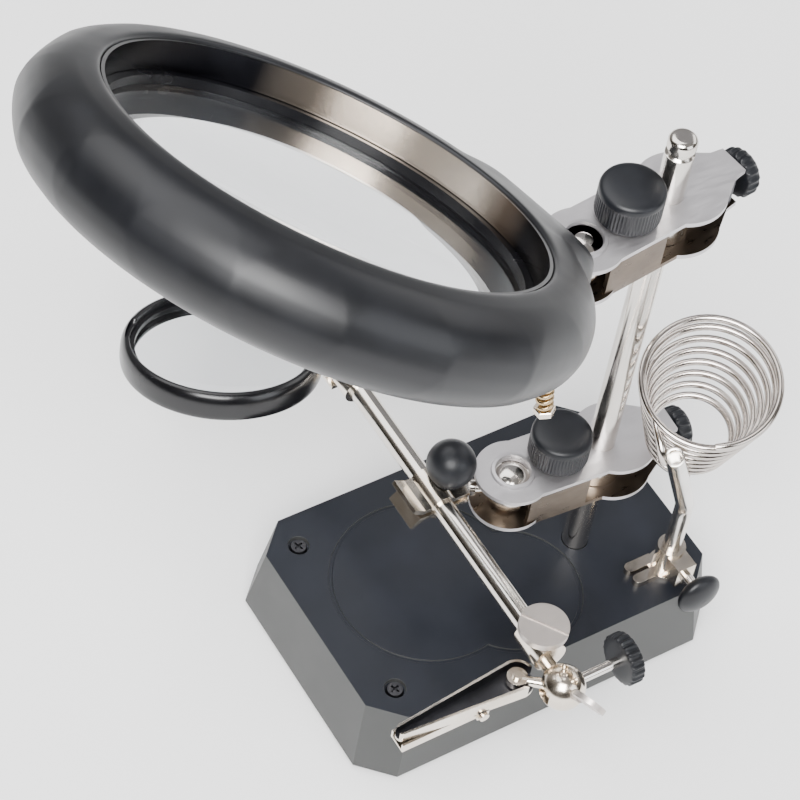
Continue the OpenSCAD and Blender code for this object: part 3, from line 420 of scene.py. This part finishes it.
def clampKnobProfile(k):
    r, h = k["radius"], k["height"]
    return np.array([
        [2.1, 0.01], [r - 1.0, 0], [r - 0.3, 0.25], [r, 0.9], [r, 2.2], [r, h - 3.4], [r, h - 2.2],
        [r - 0.25, h - 1.3], [r - 1.1, h - 0.65], [r - 3, h - 0.2], [r - 6, h], [0.0, h]])


def addKnobs():
    for level, at in brackets.items():
        profile = softened(clampKnobProfile(clampKnob), 3)
        profile = np.concatenate([[[2.1, 4.1], [2.1, 0.5]], profile])
        rings = revolved(profile, 240, clampKnob["flutes"], clampKnob["fluteDepth"], (0.6, 8.2))
        # the bore's blind end closes the inside
        seat = at.then((0, -15, 7.0 + 1.6 + 0.1))
        ringShell(level + "Knob", seat.put(rings), f"{level}_clamp_knob", knobBlack,
            replaced=(level + "_knob",), slot="knob_black")
        r, h = endKnob["radius"], endKnob["height"]
        outline = np.array([
            [0, 0], [2.2, 0], [r - 1.4, 0], [r - 0.2, 0.5], [r, 1.4], [r, 2.4], [r, h - 2.2],
            [r - 0.5, h - 1.1], [r - 2, h - 0.25], [r - 4, h], [0, h]])
        rings = revolved(softened(outline, 3), 216, endKnob["flutes"], endKnob["fluteDepth"], (0.2, 5.0), 0.8)
        seat = at.then((0, 24.5, 0), turned(-90, 0, 0))
        ringShell(level + "EndKnob", seat.put(rings), f"{level}_end_thumbscrew", knobBlack,
            replaced=(level + "_end_knob",), slot="knob_black")


addKnobs()

armKnob = {"radius": 7.3, "foot": 4.79, "flutes": 40, "fluteDepth": 0.3}


def addArmKnob():
    # a ball on a short fluted skirt, over the jaws' bolt
    r, foot = armKnob["radius"], armKnob["foot"]
    middle = foot + r - 1
    a = np.radians(np.linspace(-42, 90, 30))
    ball = np.stack([r * np.cos(a), middle + r * np.sin(a)], 1)
    skirt = np.array([
        [1.25, 9.3], [1.25, 3.8], [1.9, 3.75], [1.9, foot], [r - 2.6, foot], [r - 2.25, foot + 0.3],
        [r - 2.1, foot + 0.8]])
    profile = np.concatenate([skirt, ball])
    rings = revolved(profile, 240, armKnob["flutes"], armKnob["fluteDepth"], (foot + 0.1, foot + 3.6))
    at = Place((-3.26, -18.33, 69.5))
    ringShell("armBallKnob", at.put(rings), "arm_knob", knobBlack,
        replaced=("arm_ball_knob",), slot="knob_black")


addArmKnob()

sideKnob = {"radius": 7.8, "height": 4.8, "flutes": 22, "fluteDepth": 0.5}


def addSideKnobs():
    r, h = sideKnob["radius"], sideKnob["height"]
    outline = np.array([
        [0, 0], [3, 0], [r - 1.4, 0], [r - 0.2, 0.4], [r, 1.2], [r, h / 2], [r, h - 1.2], [r - 0.2, h - 0.4],
        [r - 1.4, h], [r - 3, h - 0.4], [r - 4, h - 0.5], [0, h - 0.5]])
    rings = revolved(softened(outline, 3), 264, sideKnob["flutes"], sideKnob["fluteDepth"], (0.1, h - 0.1), 0.7)
    at = Place((67.5, -23.13 + 5.1 + 13.4, 65), turned(-90, 0, 0))
    ringShell("socketKnob", at.put(rings), "socket_thumbscrew", knobBlack,
        replaced=("socket_knob",), slot="knob_black")
    half = 7.4
    outline = np.array([
        [0, 0], [3, 0], [half - 2.6, 0.1], [half - 0.7, 1.4], [half, 2.8], [half - 0.6, 4.1],
        [half - 2.4, 5.3], [half - 4.8, 6.0], [0, 6.2]])
    rings = revolved(softened(outline, 4), 96)
    at = Place((28 + 2.8 + 10.4, 47, 34), turned(0, 90, 0))
    ringShell("restKnob", at.put(rings), "rest_thumbscrew", knobBlack,
        replaced=("rest_knob",), slot="knob_black")


addSideKnobs()
print("knobs done")

# the large magnifier

stud = Place((10.60, -1.78, 177.0), turned(-11.7, 0, 92.9))
hinge = stud.then((-20, 0, 0), turned(0, 31.5, 0))
lens = hinge.then((-80.9, 0, 26.3))
housing = {
    "opening": 58.2, "outer": 74.0, "neckHalf": 25.0, "neckEnd": 84.0, "neckLean": 0.304,
    "scallopRadius": 13.0, "scallopDepth": 0.55, "scallopStep": 20.5, "scallopFirst": 171.9,
    "around": 600}


def housingShell(h):
    # angle a runs round the lens, and each section runs from the opening's lip, out, down and in.
    # The ring's section and the neck's are mixed by how far each reaches out at that angle.
    a = np.linspace(-np.pi, np.pi, h["around"], endpoint=False)[:, None]
    v, o = h["opening"], h["outer"]
    ring = np.array([
        [v, -16.9], [v, -9], [v, -2.2], [v + 0.25, -0.7], [v + 1.1, -0.15], [v + 3.4, -0.35],
        [o - 8, -1.2], [o - 3.4, -4.3], [o - 0.7, -8.6], [o + 0.1, -12.4], [o + 0.1, -15.5],
        [o - 1.2, -20], [o - 4.6, -24.2], [o - 9.8, -26.8], [v + 2, -27], [v - 2.9, -27],
        [v - 3.2, -26.6], [v - 3.2, -17.2], [v - 3, -17]])
    neckZ = np.array([
        -16.9, -9, -2.2, -0.7, -0.15, -0.5, -2.2, -4.5, -6.6, -11, -18, -24, -28.8, -31, -31,
        -27, -26.6, -17.2, -17])
    neckIn = np.array([0, 0, 0, 0, 0, 0, 9.0, 3.0, 0.5, 0, 0, 0, 0.7, 4.0, 0, 0, 0, 0, 0.0])
    limit = h["neckEnd"] - (neckZ + 17.8) * h["neckLean"]
    ahead = np.abs(np.cos(a)) * (np.cos(a) > 0) / limit
    reach = (ahead ** 9 + (np.abs(np.sin(a)) / h["neckHalf"]) ** 9) ** (-1 / 9)
    reach = np.where(np.cos(a) > 0.05, reach, 0.0)
    outerOnes = np.zeros(len(ring), bool)
    outerOnes[6:14] = True
    ringR, ringZ = ring[:, 0][None], ring[:, 1][None]
    neckR = np.where(outerOnes, reach - neckIn, ringR)
    neckR[:, 14] = np.minimum(v + 2, reach[:, 14])
    weight = 1 / (1 + (o / np.maximum(reach, 1)) ** 26)
    r = np.where(outerOnes, (np.maximum(ringR, 1) ** 22 + np.maximum(neckR, 0) ** 22) ** (1 / 22), ringR)
    z = (1 - weight) * ringZ + weight * neckZ[None]
    section = np.stack([r, z], -1).transpose(1, 0, 2)
    section = softened(section, 3, closed=True).transpose(1, 0, 2)
    r, z = section[..., 0], section[..., 1]
    # finger scallops: round dishes in the side, their depth falling off from the middle to the edge
    first = np.radians(h["scallopFirst"])
    step = np.radians(h["scallopStep"])
    centres = np.concatenate([-first + step * np.arange(6), first - step * np.arange(6)])
    for centre in centres:
        away = np.angle(np.exp(1j * (a - centre))) * o
        far = np.sqrt(away ** 2 + (z + 13) ** 2) / h["scallopRadius"]
        outside = np.clip((r - (o - 9)) / 4, 0, 1)
        r = r - h["scallopDepth"] * np.clip(1 - far ** 2, 0, 1) * outside
    return np.stack([r * np.cos(a), r * np.sin(a), z], -1).transpose(1, 0, 2)


def prism(outline, half):
    # an outline in X-Z carried from -half to half along Y
    outline = np.asarray(outline, float)
    flat = np.stack([outline[:, 0], np.zeros(len(outline)), outline[:, 1]], -1)
    return np.stack([flat - [0, half, 0], flat + [0, half, 0]])


def cutter(name, rings):
    mesh = bpy.data.meshes.new(name)
    count = rings.shape[1]
    faces = gridFaces(2, count, False).tolist() + [list(range(count))[::-1], list(range(count, 2 * count))]
    mesh.from_pydata((rings.reshape(-1, 3) * mm).tolist(), [], faces)
    work = bmesh.new()
    work.from_mesh(mesh)
    bmesh.ops.recalc_face_normals(work, faces=work.faces)
    work.to_mesh(mesh)
    work.free()
    tool = bpy.data.objects.new(name, mesh)
    bpy.context.scene.collection.objects.link(tool)
    return tool


def cutAway(piece, tools):
    for tool in tools:
        cut = piece.modifiers.new(tool.name, "BOOLEAN")
        cut.object = tool
        cut.operation = "DIFFERENCE"
        cut.solver = "EXACT"
    bpy.context.view_layer.update()
    shape = bpy.data.meshes.new_from_object(piece.evaluated_get(bpy.context.evaluated_depsgraph_get()))
    shape.name = piece.data.name
    piece.modifiers.clear()
    piece.data = shape
    for tool in tools:
        bpy.data.objects.remove(tool)


def addHousing():
    rings = housingShell(housing)
    piece = ringShell("magnifierHousing", lens.put(rings), "magnifier", housingBlack, wrapRows=True,
        sharpAngle=50, replaced=("magnifier_cover", "magnifier_body"), slot="housing_black")
    # the stem's slot and the pocket for the bracket's round end, about the hinge
    a0, a1 = np.radians([1.5, 57.5])
    w, far = 3.0, 30
    low, lowWay = w * np.array([np.sin(a0), -np.cos(a0)]), np.array([np.cos(a0), np.sin(a0)])
    high, highWay = w * np.array([-np.sin(a1), np.cos(a1)]), np.array([np.cos(a1), np.sin(a1)])
    wedge = [low, low + far * lowWay, high + far * highWay, high]
    slotPlace = lens.then((80.9, 0, -26.3))
    stem = cutter("stemWay", slotPlace.put(prism(wedge, 3.0)))
    t = np.linspace(0, 2 * np.pi, 40, endpoint=False)
    eye = cutter("eyeWay", slotPlace.put(prism(np.stack([5.5 * np.cos(t), 5.5 * np.sin(t)], 1), 3.01)))
    front, tall = 20 - 11.2 - 1.4, 7.0 + 3.4
    c, s = np.cos(np.radians(25)), np.sin(np.radians(25))
    near, top = front * c - tall * s, front * s + tall * c
    outline = [[front - 0.2, 0], [near, -top], [near + 14, -top - 8], [near + 40, -top - 20],
        [near + 40, top + 20], [near + 14, top + 8], [near, top]]
    pocket = cutter("lobeRoom", slotPlace.then(turn=turned(0, -31.5, 0)).put(prism(outline, 12.4)))
    cutAway(piece, [stem, eye, pocket])
    piece.data.polygons.foreach_set("use_smooth", np.ones(len(piece.data.polygons), bool))
    piece.data.set_sharp_from_angle(angle=np.radians(40))
    return piece


addHousing()


def lensShell(radius, edge, dome, sides=128):
    # two spherical caps on a short straight rim
    s = np.linspace(0, 1, 26) ** 0.7
    big = (radius ** 2 + dome ** 2) / (2 * dome)
    rise = np.sqrt(big ** 2 - (radius * s) ** 2) - (big - dome)
    top = np.stack([radius * s, edge / 2 + rise], 1)
    bottom = np.stack([radius * s[::-1], -edge / 2 - rise[::-1]], 1)
    return revolved(np.concatenate([top, bottom]), sides)


lensSeat = lens.then((0, 0, -17 + 2 + 0.55))
ringShell("magnifierLens", lensSeat.put(lensShell(57.9, 4, 5, 192)), "magnifier", lensGlass,
    replaced=("magnifier_lens",), slot="lens")


def makeLiner():
    # a glossy black band with a painted reflection: a radial ramp paints a bright streak on one part of its round
    # and leaves the rest black
    material, tree, shader = startMaterial("linerPlating")
    coord = tree.nodes.new("ShaderNodeTexCoord")
    mapping = tree.nodes.new("ShaderNodeMapping")
    mapping.vector_type = "TEXTURE"
    mapping.inputs["Location"].default_value = tuple(lens.origin * mm)
    mapping.inputs["Rotation"].default_value = Matrix(lens.turn.tolist()).to_euler("XYZ")[:]
    gradient = tree.nodes.new("ShaderNodeTexGradient")
    gradient.gradient_type = "RADIAL"
    tree.links.new(coord.outputs["Object"], mapping.inputs["Vector"])
    tree.links.new(mapping.outputs["Vector"], gradient.inputs["Vector"])
    node = tree.nodes.new("ShaderNodeValToRGB")
    stops = node.color_ramp.elements
    stops[0].position, stops[0].color = 0.455, (0.004, 0.004, 0.006, 1)
    stops[1].position, stops[1].color = 0.70, (0.004, 0.004, 0.006, 1)
    # the colours of the painted reflection streak
    reflectionStops = ((0.485, (0.16, 0.12, 0.09, 1)), (0.52, (0.75, 0.66, 0.56, 1)), (0.60, (0.5, 0.42, 0.34, 1)))
    for position, colour in reflectionStops:
        stop = stops.new(position)
        stop.color = colour
    tree.links.new(gradient.outputs["Fac"], node.inputs["Fac"])
    tree.links.new(node.outputs["Color"], shader.inputs["Base Color"])
    shader.inputs["Metallic"].default_value = 0.85
    shader.inputs["Roughness"].default_value = 0.24
    return material


linerPlating = makeLiner()
nodes["magnifier_liner"].data.materials.clear()
nodes["magnifier_liner"].data.materials.append(linerPlating)
print("large magnifier done")

# the post and the cross rod

def addRods():
    r, top = 4.0, 206.0
    outline = np.array([
        [0, 2.4], [2.9, 2.4], [3, 2.5], [3, 15.4], [r, 15.41], [r, top - 6], [r - 0.15, top - 5.9],
        [r - 0.7, top - 5.4], [r - 0.7, top - 4.4], [r - 0.15, top - 3.9], [r, top - 3.7],
        [r, top - 1.5], [r - 0.35, top - 0.7], [r - 1.1, top - 0.12], [r - 1.9, top], [0, top]])
    ringShell("postTurned", Place((7, 27.5, 0)).put(revolved(outline, 96)), "base", nickelUp,
        replaced=("post",), slot="nickel")
    r, length = 3.25, 110.0
    outline = np.array([
        [0, 0], [r - 0.75, 0], [r - 0.3, 0.12], [r - 0.06, 0.4], [r, 0.75],
        [r, length - 0.75], [r - 0.06, length - 0.4], [r - 0.3, length - 0.12], [r - 0.75, length], [0, length]])
    at = Place((-52, -23.13, 69.5), turned(0, 90, 0))
    ringShell("crossRodTurned", at.put(revolved(outline, 96)), "rod", nickelAcross,
        replaced=("cross_rod",), slot="nickel")


addRods()

# the small magnifier

small = Place((-78.6, -50.8, 70.8), turned(-17.7, -3.4, 51.3))
smallFrame = {"opening": 27.3, "outer": 30.3, "height": 9.0, "notchAt": 231 - 51.3, "notchHalf": 10.5}


def addSmallFrame():
    v, o, h = smallFrame["opening"], smallFrame["outer"], smallFrame["height"]
    outline = np.array([
        [v, -h + 1.5], [v, -4], [v, -1.2], [v + 0.2, -0.25], [v + 1.2, -0.1], [v + 2.2, -0.9],
        [o - 0.2, -2.4], [o, -4.2], [o, -h + 1.6], [o - 0.5, -h + 0.2], [o - 1.4, -h],
        [v - 1.2, -h], [v - 1.4, -h + 0.2], [v - 1.4, -h + 1.3], [v - 1.2, -h + 1.4]])
    outline = softened(outline, 3, closed=True)
    rings = revolved(outline, 240)
    a = np.degrees(np.arctan2(rings[..., 1], rings[..., 0]))
    away = np.abs((a - smallFrame["notchAt"] + 180) % 360 - 180)
    dip = np.clip((smallFrame["notchHalf"] - away) / 2.0, 0, 1)
    inner = np.hypot(rings[..., 0], rings[..., 1]) < v + 1.6
    rings[..., 2] -= np.where(inner & (rings[..., 2] > -2), 1.3 * dip, 0)
    ringShell("smallFrame", small.put(rings), "small_lens", frameBlack, wrapRows=True,
        replaced=("small_frame",), slot="frame_black")
    seat = small.then((0, 0, -h + 1.4 + 1.5 + 0.25))
    ringShell("smallLens", seat.put(lensShell(v - 0.1, 3, 2.2)), "small_lens", lensGlass,
        replaced=("small_lens",), slot="lens")


addSmallFrame()
print("small magnifier done")

# the coil rest

coil = {"mouth": 41.0, "end": 25.0, "length": 46.0, "turns": 8, "wire": 2.2, "start": -27.0, "tail": -84.0}
coilPlace = Place((31.7, 37.7, 127.7), turned(11.8, 13.7, 0))
rodTop = np.array([43.8, 19.3, 117.9])
rodBend = np.array([28.0, 47.0, 60.0])


def coilDrop(n):
    first = 1.25 * coil["wire"]
    return np.where(n < 1, first * n, first + (coil["length"] - first) * (n - 1) / (coil["turns"] - 1))


def coilPoint(n):
    # a cone's spiral: the radius falls from mouth to end as the wire drops
    drop = coilDrop(n)
    r = (coil["mouth"] + (coil["end"] - coil["mouth"]) * drop / coil["length"]) / 2 - coil["wire"] / 2
    a = np.radians(coil["start"] + 360 * n)
    return np.stack([r * np.cos(a), r * np.sin(a), -drop], -1)


def bezier(a, b, c, d, count):
    t = np.linspace(0, 1, count)[:, None]
    return (1 - t) ** 3 * a + 3 * (1 - t) ** 2 * t * b + 3 * (1 - t) * t ** 2 * c + t ** 3 * d


def addCoil():
    n = np.linspace(0, coil["turns"], coil["turns"] * 56 + 1)
    path = coilPlace.put(coilPoint(n))
    radius = np.full(len(n), coil["wire"] / 2)
    radius[0] = radius[-1] = coil["wire"] / 2 * 0.8
    ringShell("restCoil", tube(path, radius, 14, coilPlace.turn[:, 2]), "rest", wireSteel,
        replaced=("rest_coil",), slot="coil_wire")
    leave = 1 + (coil["tail"] - coil["start"]) / 360
    start = coilPlace.put(coilPoint(np.array([leave]))[0])
    foot = np.array([40.4, 17.6, 116.6])
    end = foot + (rodTop - foot) * 0.35 + np.array([0, 0, -4.5])
    tail = bezier(start, start + (foot - start) * 0.4 + [0, 0, -1.0], foot + [0, 0, 2.5], end, 40)
    widths = np.interp(np.linspace(0, 1, 40), [0, 0.3, 0.75, 0.93, 1], [1.05, 1.1, 1.5, 1.45, 0.8])
    ringShell("restCoilTail", tube(tail, widths, 16, (1, 0.3, 0.1)), "rest", wireSteel, slot="coil_wire")


addCoil()


def addRestRod():
    # a tube with a short bend, its top end open
    foot = np.array([28.0, 47.0, 29.8])
    up = (rodBend - foot) / np.linalg.norm(rodBend - foot)
    out = (rodTop - rodBend) / np.linalg.norm(rodTop - rodBend)
    bend = bezier(rodBend - up * 4, rodBend - up * 1.2, rodBend + out * 1.2, rodBend + out * 4, 20)
    path = np.concatenate([
        np.linspace(foot, rodBend - up * 4.4, 20), bend, np.linspace(rodBend + out * 4.4, rodTop, 40)])
    rings = tube(path, 2.8, 40, (1, 0.2, 0))
    lip = rings[-1] - rodTop
    steps = ((0.97, 0.06), (0.86, 0.08), (0.74, 0.0), (0.71, -0.4), (0.71, -7.5))
    inner = [rodTop + lip * share + out * drop for share, drop in steps]
    ringShell("restRod", np.concatenate([rings, np.array(inner)]), "rest", nickelUp,
        replaced=("rest_rod",), slot="nickel")


addRestRod()
print("coil rest done")

# the tension screw

tension = {"thin": 1.2, "wire": 0.7, "turns": 11, "pitch": 2.4, "length": 32.0}


def addTension():
    at = lens.then((82.8, -14.9, -31.1), turned(-6.8, 143.9, 0))
    s = np.linspace(0, 1, 24 * tension["turns"] + 1)
    a = 2 * np.pi * tension["turns"] * s
    r = tension["thin"] + tension["wire"] - 0.1
    path = np.stack([r * np.cos(a), r * np.sin(a), 3.0 + tension["pitch"] * tension["turns"] * s * 0.97], 1)
    ringShell("tensionSpring", at.put(tube(path, tension["wire"], 12)), "tension_screw", springBrass,
        slot="nickel")
    core = np.array([[0, -5], [1.0, -5], [1.2, -4.7], [1.2, 31.6], [1.0, 32], [0, 32]])
    ringShell("tensionCore", at.put(revolved(core, 32)), "tension_screw", springBrass,
        replaced=("tension_screw",), slot="nickel")
    t = np.radians(60 * np.arange(6) + 30)
    rows = ((2.7, 29.5), (3, 29.7), (3, 31.5), (2.7, 31.7))
    head = np.array([[np.cos(t) * q, np.sin(t) * q, np.full(6, z)] for q, z in rows]).transpose(0, 2, 1)
    ringShell("tensionHead", at.put(head), "tension_screw", warmNickel, slot="nickel")


addTension()

# solids that keep their shape, with broken edges

smallMetal = {
    "post_nut": (darkSteel, 0.2), "lower_end_screw": (nickelUp, 0.15),
    "upper_end_screw": (nickelUp, 0.15), "arm_upper_jaw": (warmNickel, 0.25), "arm_lower_jaw": (warmNickel, 0.25),
    "arm_bolt": (warmNickel, 0.15), "rod_sleeve": (warmNickel, 0.25),
    "lens_knuckle": (warmNickel, 0.2), "end_block": (warmNickel, 0.3), "block_screw": (satinNickel, 0.25),
    "ball_socket": (warmNickel, 0.25), "socket_screw": (nickelUp, 0.15), "paddle_screw": (satinNickel, 0.25),
    "clip_ball": (warmNickel, 0.15), "clip_upper_jaw": (warmNickel, 0.18), "clip_lower_jaw": (warmNickel, 0.12),
    "clip_pin": (warmNickel, 0.1), "rest_collar": (warmNickel, 0.3), "rest_screw": (nickelAcross, 0.15),
    "arm_ball": (nickelUp, 0.15), "magnifier_ball": (nickelUp, 0.15)}


def inShadedTrough(normals, centres):
    # the clip's inner walls face its middle line, and its floor faces up; these faces take the dark steel as
    # painted shade inside the trough
    x, y, z = (centres - [59.4, -33.13, 62.4]).T
    inward = normals[:, 0] * x + np.where(y > 0, normals[:, 1] * y, 0)
    return ((inward < -0.15) | ((normals[:, 2] > 0.8) & (z < 2.2))) & (np.abs(x) < 4.6)


for node, (finish, width) in smallMetal.items():
    name = "".join(w.capitalize() if i else w for i, w in enumerate(node.split("_"))) + "Piece"
    # the upper jaw's trough faces are painted dark as shade
    eased(node, finish, width, name,
        faceFinish=(darkSteel, inShadedTrough) if node == "clip_upper_jaw" else None)

for node, finish in {
        "bottom_plate": baseSide, "ballast": ironCast, "clip_spring": wireSteel, "small_retainer": frameBlack,
        "magnifier_retainer": frameBlack, "hinge_bolt": darkSteel}.items():
    nodes[node].data.materials.clear()
    nodes[node].data.materials.append(finish)
print("small metal done")

# room, light and camera

studio = {
    "floor": 3.0, "floorGap": 0.0002, "floorColour": 0.97,
    "front": 105.0, "key": 14.0, "side": 10.0, "back": 6.0, "sky": 1.0}


def addFloor():
    half = studio["floor"]
    mesh = bpy.data.meshes.new("floor")
    below = studio["floorGap"]
    corners = [(-half, -half, -below), (half, -half, -below), (half, half, -below), (-half, half, -below)]
    mesh.from_pydata(corners, [], [(0, 1, 2, 3)])
    material, tree, shader = startMaterial("floorPaper")
    c = studio["floorColour"]
    shader.inputs["Base Color"].default_value = (c, c, c, 1)
    shader.inputs["Roughness"].default_value = 0.9
    shader.inputs["Specular IOR Level"].default_value = 0.1
    mesh.materials.append(material)
    floor = bpy.data.objects.new("floor", mesh)
    bpy.context.scene.collection.objects.link(floor)


def addLight(name, spot, aim, size, power, colour=(1, 1, 1)):
    light = bpy.data.lights.new(name, "AREA")
    light.shape = "RECTANGLE"
    light.size, light.size_y = size
    light.energy = power
    light.color = colour
    lamp = bpy.data.objects.new(name, light)
    bpy.context.scene.collection.objects.link(lamp)
    direction = np.array(aim) - np.array(spot)
    lamp.location = spot
    lamp.rotation_mode = "QUATERNION"
    lamp.rotation_quaternion = Matrix(lookAt(direction)).to_quaternion()


def lookAt(direction):
    back = -np.array(direction, float) / np.linalg.norm(direction)
    side = np.cross([0, 0, 1], back) if abs(back[2]) < 0.999 else np.array([1.0, 0, 0])
    side /= np.linalg.norm(side)
    up = np.cross(back, side)
    return np.stack([side, up, back], 1).tolist()


def addRoomLight():
    world = bpy.data.worlds.new("room")
    bpy.context.scene.world = world
    world.use_nodes = True
    tree = world.node_tree
    shade = tree.nodes["Background"]
    coord = tree.nodes.new("ShaderNodeTexCoord")
    facing = tree.nodes.new("ShaderNodeVectorMath")
    facing.operation = "DOT_PRODUCT"
    facing.inputs[1].default_value = (-0.55, 0.45, 0.70)
    tree.links.new(coord.outputs["Generated"], facing.inputs[0])
    tone = tree.nodes.new("ShaderNodeValToRGB")
    stops = tone.color_ramp.elements
    stops[0].position, stops[0].color = 0.0, (0.03, 0.025, 0.02, 1)
    stops[1].position, stops[1].color = 1.0, (0.38, 0.38, 0.40, 1)
    for position, colour in ((0.2, (0.08, 0.07, 0.06, 1)), (0.5, (0.30, 0.29, 0.28, 1))):
        stop = stops.new(position)
        stop.color = colour
    tree.links.new(facing.outputs["Value"], tone.inputs["Fac"])
    tree.links.new(tone.outputs["Color"], shade.inputs["Color"])
    shade.inputs["Strength"].default_value = studio["sky"]


addFloor()
addRoomLight()
addLight("frontLight", (0.9, -0.9, 1.7), (0, 0, 0.1), (1.2, 1.2), studio["front"])
addLight("keyLight", (-0.55, -0.15, 1.25), (0, 0, 0.1), (1.1, 1.1), studio["key"])
addLight("sideLight", (1.2, 0.5, 0.75), (0, 0, 0.1), (0.9, 0.9), studio["side"], (0.93, 0.96, 1.0))
addLight("backLight", (-0.1, 1.3, 0.9), (0, 0, 0.12), (1.2, 0.7), studio["back"])

view = {
    "spot": (0.37943, -0.35059, 0.73540), "right": (0.51119, 0.85224, 0.11126),
    "down": (0.70817, -0.34430, -0.61641), "ahead": (-0.48702, 0.39389, -0.77953), "lensLength": 130.4}


def addCamera():
    data = bpy.data.cameras.new("camera")
    data.sensor_width = 36
    data.lens = view["lensLength"]
    data.clip_start = 0.01
    data.clip_end = 20
    camera = bpy.data.objects.new("camera", data)
    bpy.context.scene.collection.objects.link(camera)
    axes = np.stack([np.array(view["right"]), -np.array(view["down"]), -np.array(view["ahead"])], 1)
    camera.rotation_mode = "QUATERNION"
    camera.rotation_quaternion = Matrix(axes.tolist()).to_quaternion()
    camera.location = view["spot"]
    bpy.context.scene.camera = camera


addCamera()
print("scene ready")
